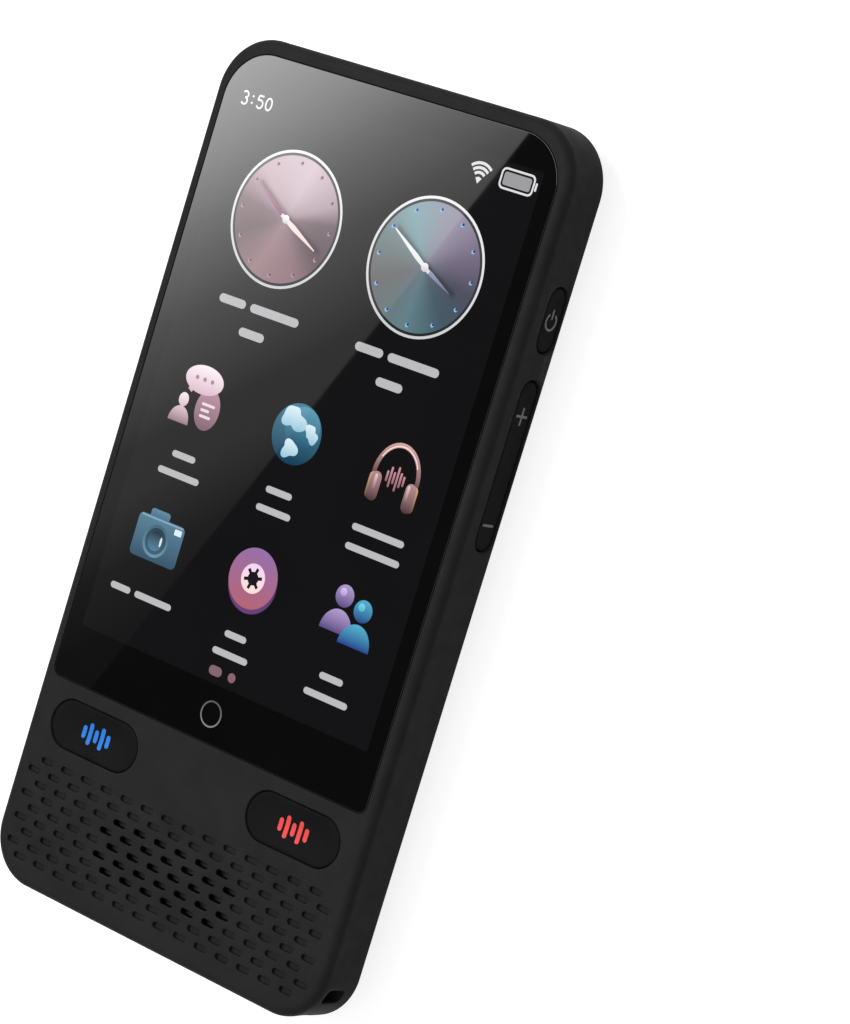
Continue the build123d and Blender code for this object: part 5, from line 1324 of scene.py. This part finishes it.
def camera_lens():
    """Lens: a glass dome that falls by a parabola of the distance from the camera's axis, in a thin
    dark rim."""
    patches = Patchwork()
    front, back, tip = LENS_LOW[2], LENS_HIGH[2], 0.001
    dome = [(rho, front + LENS_FALL * (rho / LENS_GLASS_R) ** 2)
            for rho in np.linspace(tip, LENS_GLASS_R, 12)]
    shoulder = (LENS_R - 0.05, front + 0.8 * LENS_FALL)
    rim = [dome[-1], shoulder, (LENS_R, front + LENS_FALL), (LENS_R, back), (tip, back)]
    for finish, section in enumerate((dome, rim)):
        patches.sweep(section, lambda radius: disc(CAMERA, radius, 16), finish=finish)
    return patches


# ======================== settings and operators
# What all colour settings share
COLOUR = {"subtype": "COLOR", "min": 0, "max": 1}


class HandsetColours(bpy.types.PropertyGroup):
    """Colours of the outer finishes, as linear light."""

    housing: bpy.props.FloatVectorProperty(
        name="Housing", description="Soft black of the shells", default=(0.0192, 0.0192, 0.0194), **COLOUR)
    keys: bpy.props.FloatVectorProperty(
        name="Keys", description="Black of the talk and side keys", default=(0.009, 0.009, 0.0092), **COLOUR)
    glass: bpy.props.FloatVectorProperty(
        name="Glass", description="Black behind the cover glass", default=(0.0038, 0.0038, 0.0040), **COLOUR)
    window: bpy.props.FloatVectorProperty(
        name="Camera plate", description="Gloss black of the camera plate and pane",
        default=(0.0060, 0.0060, 0.0064), **COLOUR)
    trim: bpy.props.FloatVectorProperty(
        name="Camera ring", description="Metal of the camera's ring", default=(0.78, 0.78, 0.79), **COLOUR)
    left_sign: bpy.props.FloatVectorProperty(
        name="Left talk sign", description="Print on the left talk key", default=linear("1c7ee2"), **COLOUR)
    right_sign: bpy.props.FloatVectorProperty(
        name="Right talk sign", description="Print on the right talk key", default=linear("f04848"), **COLOUR)
    side_sign: bpy.props.FloatVectorProperty(
        name="Side signs", description="Print on the side keys", default=linear("7a7a7a"), **COLOUR)


class HandsetStudio(bpy.types.PropertyGroup):
    """Light and camera of the picture."""

    lens: bpy.props.FloatProperty(
        name="Focal length", description="Camera lens, in millimetres", default=120.27, min=10, max=500,
    )
    sky: bpy.props.FloatProperty(
        name="Sky light", description="Strength of the even studio light", default=0.62, min=0, max=3,
    )
    sheen: bpy.props.FloatProperty(
        name="Sheen card", description="Brightest light of the card that the glass mirrors", default=8.6,
        min=0, max=30,
    )
    card_height: bpy.props.FloatProperty(
        name="Card height", description="Height of the card over the glass", default=0.5, min=0.1, max=3,
        subtype="DISTANCE", unit="LENGTH",
    )


class HANDSET_OT_front_shell(bpy.types.Operator):
    """Build the front housing with its openings and grille"""

    bl_idname = "handset.front_shell"
    bl_label = "Front housing"

    def execute(self, context):
        # Second finish: near-black painted shade on the deep walls of the open slots and in the sound chamber
        dark = grained("sound_black", (0.0020, 0.0020, 0.0021), 0.8, relief=0.2, specular=0.05)
        make_piece("front_shell", front_shell(), "handset", "housing_black", "front_housing", [dark])
        return {"FINISHED"}


class HANDSET_OT_rear_shell(bpy.types.Operator):
    """Build the ribbed rear cover"""

    bl_idname = "handset.rear_shell"
    bl_label = "Rear cover"

    def execute(self, context):
        make_piece("rear_shell", rear_shell(), "handset", "housing_black", "rear_cover")
        return {"FINISHED"}


class HANDSET_OT_glass(bpy.types.Operator):
    """Build the cover glass with its lit picture and home ring"""

    bl_idname = "handset.glass"
    bl_label = "Cover glass"

    def execute(self, context):
        make_piece("screen_glass", cover_glass(), "handset", "cover_glass", "cover_glass", angle=8)
        return {"FINISHED"}


class HANDSET_OT_talk_keys(bpy.types.Operator):
    """Build both talk keys and their coloured sound signs"""

    bl_idname = "handset.talk_keys"
    bl_label = "Talk keys"

    def execute(self, context):
        colours = context.scene.handset_colours
        for side, word, colour in ((-1, "left", colours.left_sign), (1, "right", colours.right_sign)):
            body = f"{word}_talk_key"
            make_piece(f"{word}_talk_cap", talk_key(side), body, "key_black", f"{word}_talk_button")
            sign = grained(f"print_{word}", colour, 0.5, relief=0.1, spread=0.06, specular=0.3)
            make_piece(f"{word}_talk_sign", talk_mark(side), body, extra=[sign])
        return {"FINISHED"}


class HANDSET_OT_side_keys(bpy.types.Operator):
    """Build the power key and the volume rocker with their signs"""

    bl_idname = "handset.side_keys"
    bl_label = "Side keys"

    def execute(self, context):
        sign = grained("print_side", context.scene.handset_colours.side_sign, 0.55, relief=0.1, spread=0.06,
                       specular=0.3)
        power = side_key(POWER_Y, POWER_LENGTH, SIDE_FLANGE_X, [(POWER_Y, POWER_LOW[0])])
        tips = [(VOLUME_Y + step, VOLUME_LOW[0]) for step in (-SWITCH_REACH, SWITCH_REACH)]
        volume = side_key(VOLUME_Y, VOLUME_LENGTH, VOLUME_FLANGE_X, tips, PIVOT_X)
        make_piece("power_cap", power, "power_key", "key_black", "power_button")
        make_piece("volume_cap", volume, "volume_key", "key_black", "volume_rocker")
        for name, body, shapes in (("power_sign", "power_key", power_sign()),
                                   ("volume_signs", "volume_key", volume_signs())):
            make_piece(name, raised_mark(shapes, on_side_face, SIDE_PRINT), body, extra=[sign])
        return {"FINISHED"}


class HANDSET_OT_camera(bpy.types.Operator):
    """Build the camera plate, ring, pane and lens"""

    bl_idname = "handset.camera"
    bl_label = "Rear camera"

    def execute(self, context):
        rim = grained("edge_black", (0.0022, 0.0022, 0.0024), 0.5, relief=0.1, specular=0.1)
        white = grained("print_white", linear("cdcdcf"), 0.5, relief=0.1, spread=0.05, specular=0.2)
        make_piece("camera_plate", camera_window(), "handset", "camera_gloss", "camera_window", [rim])
        make_piece("camera_sign", camera_sign(), "handset", extra=[white])
        make_piece("camera_trim", camera_ring(), "handset", "trim_metal", "camera_ring")
        make_piece("camera_cover", camera_pane(), "handset", "camera_gloss", "camera_pane")
        make_piece("camera_eye", camera_lens(), "handset", "lens_glass", "camera_lens", [rim])
        return {"FINISHED"}


class HANDSET_OT_inner_parts(bpy.types.Operator):
    """Give every CAD node that stays in view the finish of its material slot"""

    bl_idname = "handset.inner_parts"
    bl_label = "Inner parts"

    def execute(self, context):
        for node in frame["nodes"].values():
            slot = node.data.materials[0].name.split(".")[0]
            node.material_slots[0].material = finish_named(slot)
        return {"FINISHED"}


class HANDSET_OT_stage(bpy.types.Operator):
    """Set the floor, the light, the sheen card and the camera"""

    bl_idname = "handset.stage"
    bl_label = "Studio"

    def execute(self, context):
        studio = context.scene.handset_studio
        build_floor()
        eye = build_camera(studio.lens)
        build_card(eye, studio.card_height, studio.sheen)
        build_lights(studio.sky)
        context.scene.camera = eye
        context.scene.view_settings.view_transform = "Standard"
        return {"FINISHED"}


# ======================== studio
# Lengths here are in metres. The camera's place, and its right, up and back directions:
EYE = (0.29818, 0.05925, 0.40216)
EYE_RIGHT = (0.7659, 0.2916, -0.5730)
EYE_UP = (-0.2978, 0.9508, 0.0857)
EYE_BACK = (0.5698, 0.1050, 0.8150)
FLOOR_HALF = 3.0
FLOOR_TONES = (0.44, 0.46)
FLOOR_GLOW = 0.82
# The card, in places on the glass: its corners, the straight edge of its light, and the way that
# the light grows, with its start and end. SHEEN holds (share of that way, light).
CARD_CORNERS = ((-0.050, -0.080), (0.040, 0.085))
CARD_EDGE = ((-0.0230, -0.0338), (0.0238, 0.0637))
EDGE_BLUR = 0.0001
SHEEN_WAY = ((-0.64, 0.77), -0.010, 0.068)
SHEEN = (
    (0.06, 0.006), (0.18, 0.020), (0.30, 0.062), (0.38, 0.066), (0.49, 0.135), (0.57, 0.190),
    (0.67, 0.33), (0.72, 0.42), (0.85, 0.74), (0.97, 1.0),
)
SKY_LOW = 0.12
SKY_RISE = (-0.3, 0.9)
LAMP_PLACE = (-0.55, 0.35, 0.95)
LAMP_SIZE = (0.7, 0.9)
LAMP_POWER = 9.0


def stage_plane(name, low, high, z, material):
    """Level stage piece between two corners, on a small grid."""
    x, y = (axis.ravel() for axis in np.meshgrid(*np.linspace(low, high, 9).T))
    mesh = bpy.data.meshes.new(name)
    mesh.from_pydata(np.column_stack([x, y, np.full(len(x), z)]), [], grid_faces(9, 9, False).tolist())
    mesh.materials.append(material)
    plane = bpy.data.objects.new(name, mesh)
    bpy.context.scene.collection.objects.link(plane)
    plane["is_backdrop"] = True
    return plane


def build_floor():
    """White floor: it takes the object's shadow, and looks white by a share of its own light."""
    nodes = Nodes(bpy.data.materials.new("studio_floor"))
    seen = nodes.ray_share("Is Camera Ray", "Is Glossy Ray", "Is Transmission Ray")
    material = nodes.surface({
        "Base Color": nodes.tone(nodes.noise(3, 2), *((tone,) * 3 for tone in FLOOR_TONES)),
        "Roughness": 0.9,
        "Specular IOR Level": 0.1,
        "Emission Color": (1, 1, 1, 1),
        "Emission Strength": nodes.add("Math", {0: seen, 1: FLOOR_GLOW}, operation="MULTIPLY"),
    })
    stage_plane("floor", (-FLOOR_HALF, -FLOOR_HALF), (FLOOR_HALF, FLOOR_HALF), 0, material)


def build_camera(lens):
    """Camera that looks down on the front from its right side."""
    data = bpy.data.cameras.new("eye")
    data.lens = lens
    data.sensor_width = 36
    data.clip_start = 0.01
    eye = bpy.data.objects.new("eye", data)
    turn = Matrix((EYE_RIGHT, EYE_UP, EYE_BACK)).transposed().to_4x4()
    eye.matrix_world = Matrix.Translation(EYE) @ turn
    bpy.context.scene.collection.objects.link(eye)
    return eye


def build_card(eye, height, sheen):
    """Card that the glass mirrors: a fading light on one side of a straight edge and black on the
    other. A glass point P mirrors the card point P + k (P - E), where E is the camera's image under
    the glass and k the card's height over the camera's, so the card is the glass's sheen enlarged."""
    glass_z = GLASS_HIGH[2] * MM
    k = height / (eye.location.z - glass_z)
    shift = -k * np.array(eye.location[:2])
    nodes = Nodes(bpy.data.materials.new("sheen_card"))
    enlarge = {"Location": (*shift, 0), "Scale": (1 + k, 1 + k, 1), "Vector": nodes.place()}
    to_glass = nodes.add("Mapping", enlarge, vector_type="TEXTURE")

    def along(direction, start, end):
        """Share 0 to 1 along a direction, between two distances."""
        dot = nodes.add("VectorMath", {0: to_glass, 1: (*direction, 0)}, "Value", operation="DOT_PRODUCT")
        return nodes.between(dot, 0, 1, start, end)

    light = nodes.ramp(along(*SHEEN_WAY), [(place, (value,) * 3) for place, value in SHEEN])
    foot, top = np.array(CARD_EDGE)
    run_x, run_y = (top - foot) / np.hypot(*(top - foot))
    offset = run_x * foot[1] - run_y * foot[0]
    inside = along((-run_y, run_x), offset - EDGE_BLUR, offset + EDGE_BLUR)
    masked = nodes.blend(inside, (0, 0, 0, 1), light)
    material = nodes.surface({"Color": masked, "Strength": sheen}, "Emission")
    low, high = np.array(CARD_CORNERS) * (1 + k) + shift
    card = stage_plane("sheen_card", low, high, glass_z + height, material)
    card.visible_camera = False
    card.visible_diffuse = False
    card.visible_shadow = False


def build_lights(sky):
    """Even light from all round, stronger from above, and one large soft lamp over the front."""
    world = bpy.data.worlds.new("studio")
    bpy.context.scene.world = world
    nodes = Nodes(world)
    rise = nodes.add("SeparateXYZ", {"Vector": nodes.add("TexCoord", output="Generated")}, "Z")
    glow = nodes.ramp(nodes.between(rise, 0, 1, *SKY_RISE), [(0, (SKY_LOW,) * 3), (1, (1, 1, 1))])
    soft = nodes.add("Background", {"Color": glow, "Strength": sky})
    white = nodes.add("Background", {"Color": (1, 1, 1, 1), "Strength": 1.0})
    mix = nodes.add("MixShader", {"Fac": nodes.ray_share("Is Camera Ray"), 1: soft, 2: white})
    nodes.add("OutputWorld", {"Surface": mix})

    lamp = bpy.data.lights.new("top_softbox", "AREA")
    lamp.shape = "RECTANGLE"
    lamp.size, lamp.size_y = LAMP_SIZE
    lamp.energy = LAMP_POWER
    box = bpy.data.objects.new("top_softbox", lamp)
    box.location = LAMP_PLACE
    box.rotation_euler = (-box.location).to_track_quat("-Z", "Y").to_euler()
    bpy.context.scene.collection.objects.link(box)


class HANDSET_PT_panel(bpy.types.Panel):
    """Lists the builders and settings in the sidebar"""

    bl_idname = "HANDSET_PT_panel"
    bl_label = "Handheld translator"
    bl_space_type = "VIEW_3D"
    bl_region_type = "UI"
    bl_category = "Handset"

    def draw(self, context):
        for operator in BUILDERS:
            self.layout.operator(operator.bl_idname)
        for group in (context.scene.handset_colours, context.scene.handset_studio):
            box = self.layout.box()
            for name in group.__annotations__:
                box.prop(group, name)


BUILDERS = (
    HANDSET_OT_inner_parts,
    HANDSET_OT_front_shell,
    HANDSET_OT_rear_shell,
    HANDSET_OT_glass,
    HANDSET_OT_talk_keys,
    HANDSET_OT_side_keys,
    HANDSET_OT_camera,
    HANDSET_OT_stage,
)
CLASSES = (HandsetColours, HandsetStudio, *BUILDERS, HANDSET_PT_panel)


def register():
    for cls in CLASSES:
        bpy.utils.register_class(cls)
    bpy.types.Scene.handset_colours = bpy.props.PointerProperty(type=HandsetColours)
    bpy.types.Scene.handset_studio = bpy.props.PointerProperty(type=HandsetStudio)


def unregister():
    del bpy.types.Scene.handset_studio
    del bpy.types.Scene.handset_colours
    for cls in reversed(CLASSES):
        bpy.utils.unregister_class(cls)


def main():
    register()
    bpy.ops.handset.inner_parts()
    bpy.ops.handset.front_shell()
    bpy.ops.handset.rear_shell()
    bpy.ops.handset.glass()
    bpy.ops.handset.talk_keys()
    bpy.ops.handset.side_keys()
    bpy.ops.handset.camera()
    bpy.ops.handset.stage()
    boxes = {"cad": CAD_BOX, "visual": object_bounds()}
    {name: [list(corner) for corner in box] for name, box in boxes.items()}


if __name__ == "__main__":
    main()
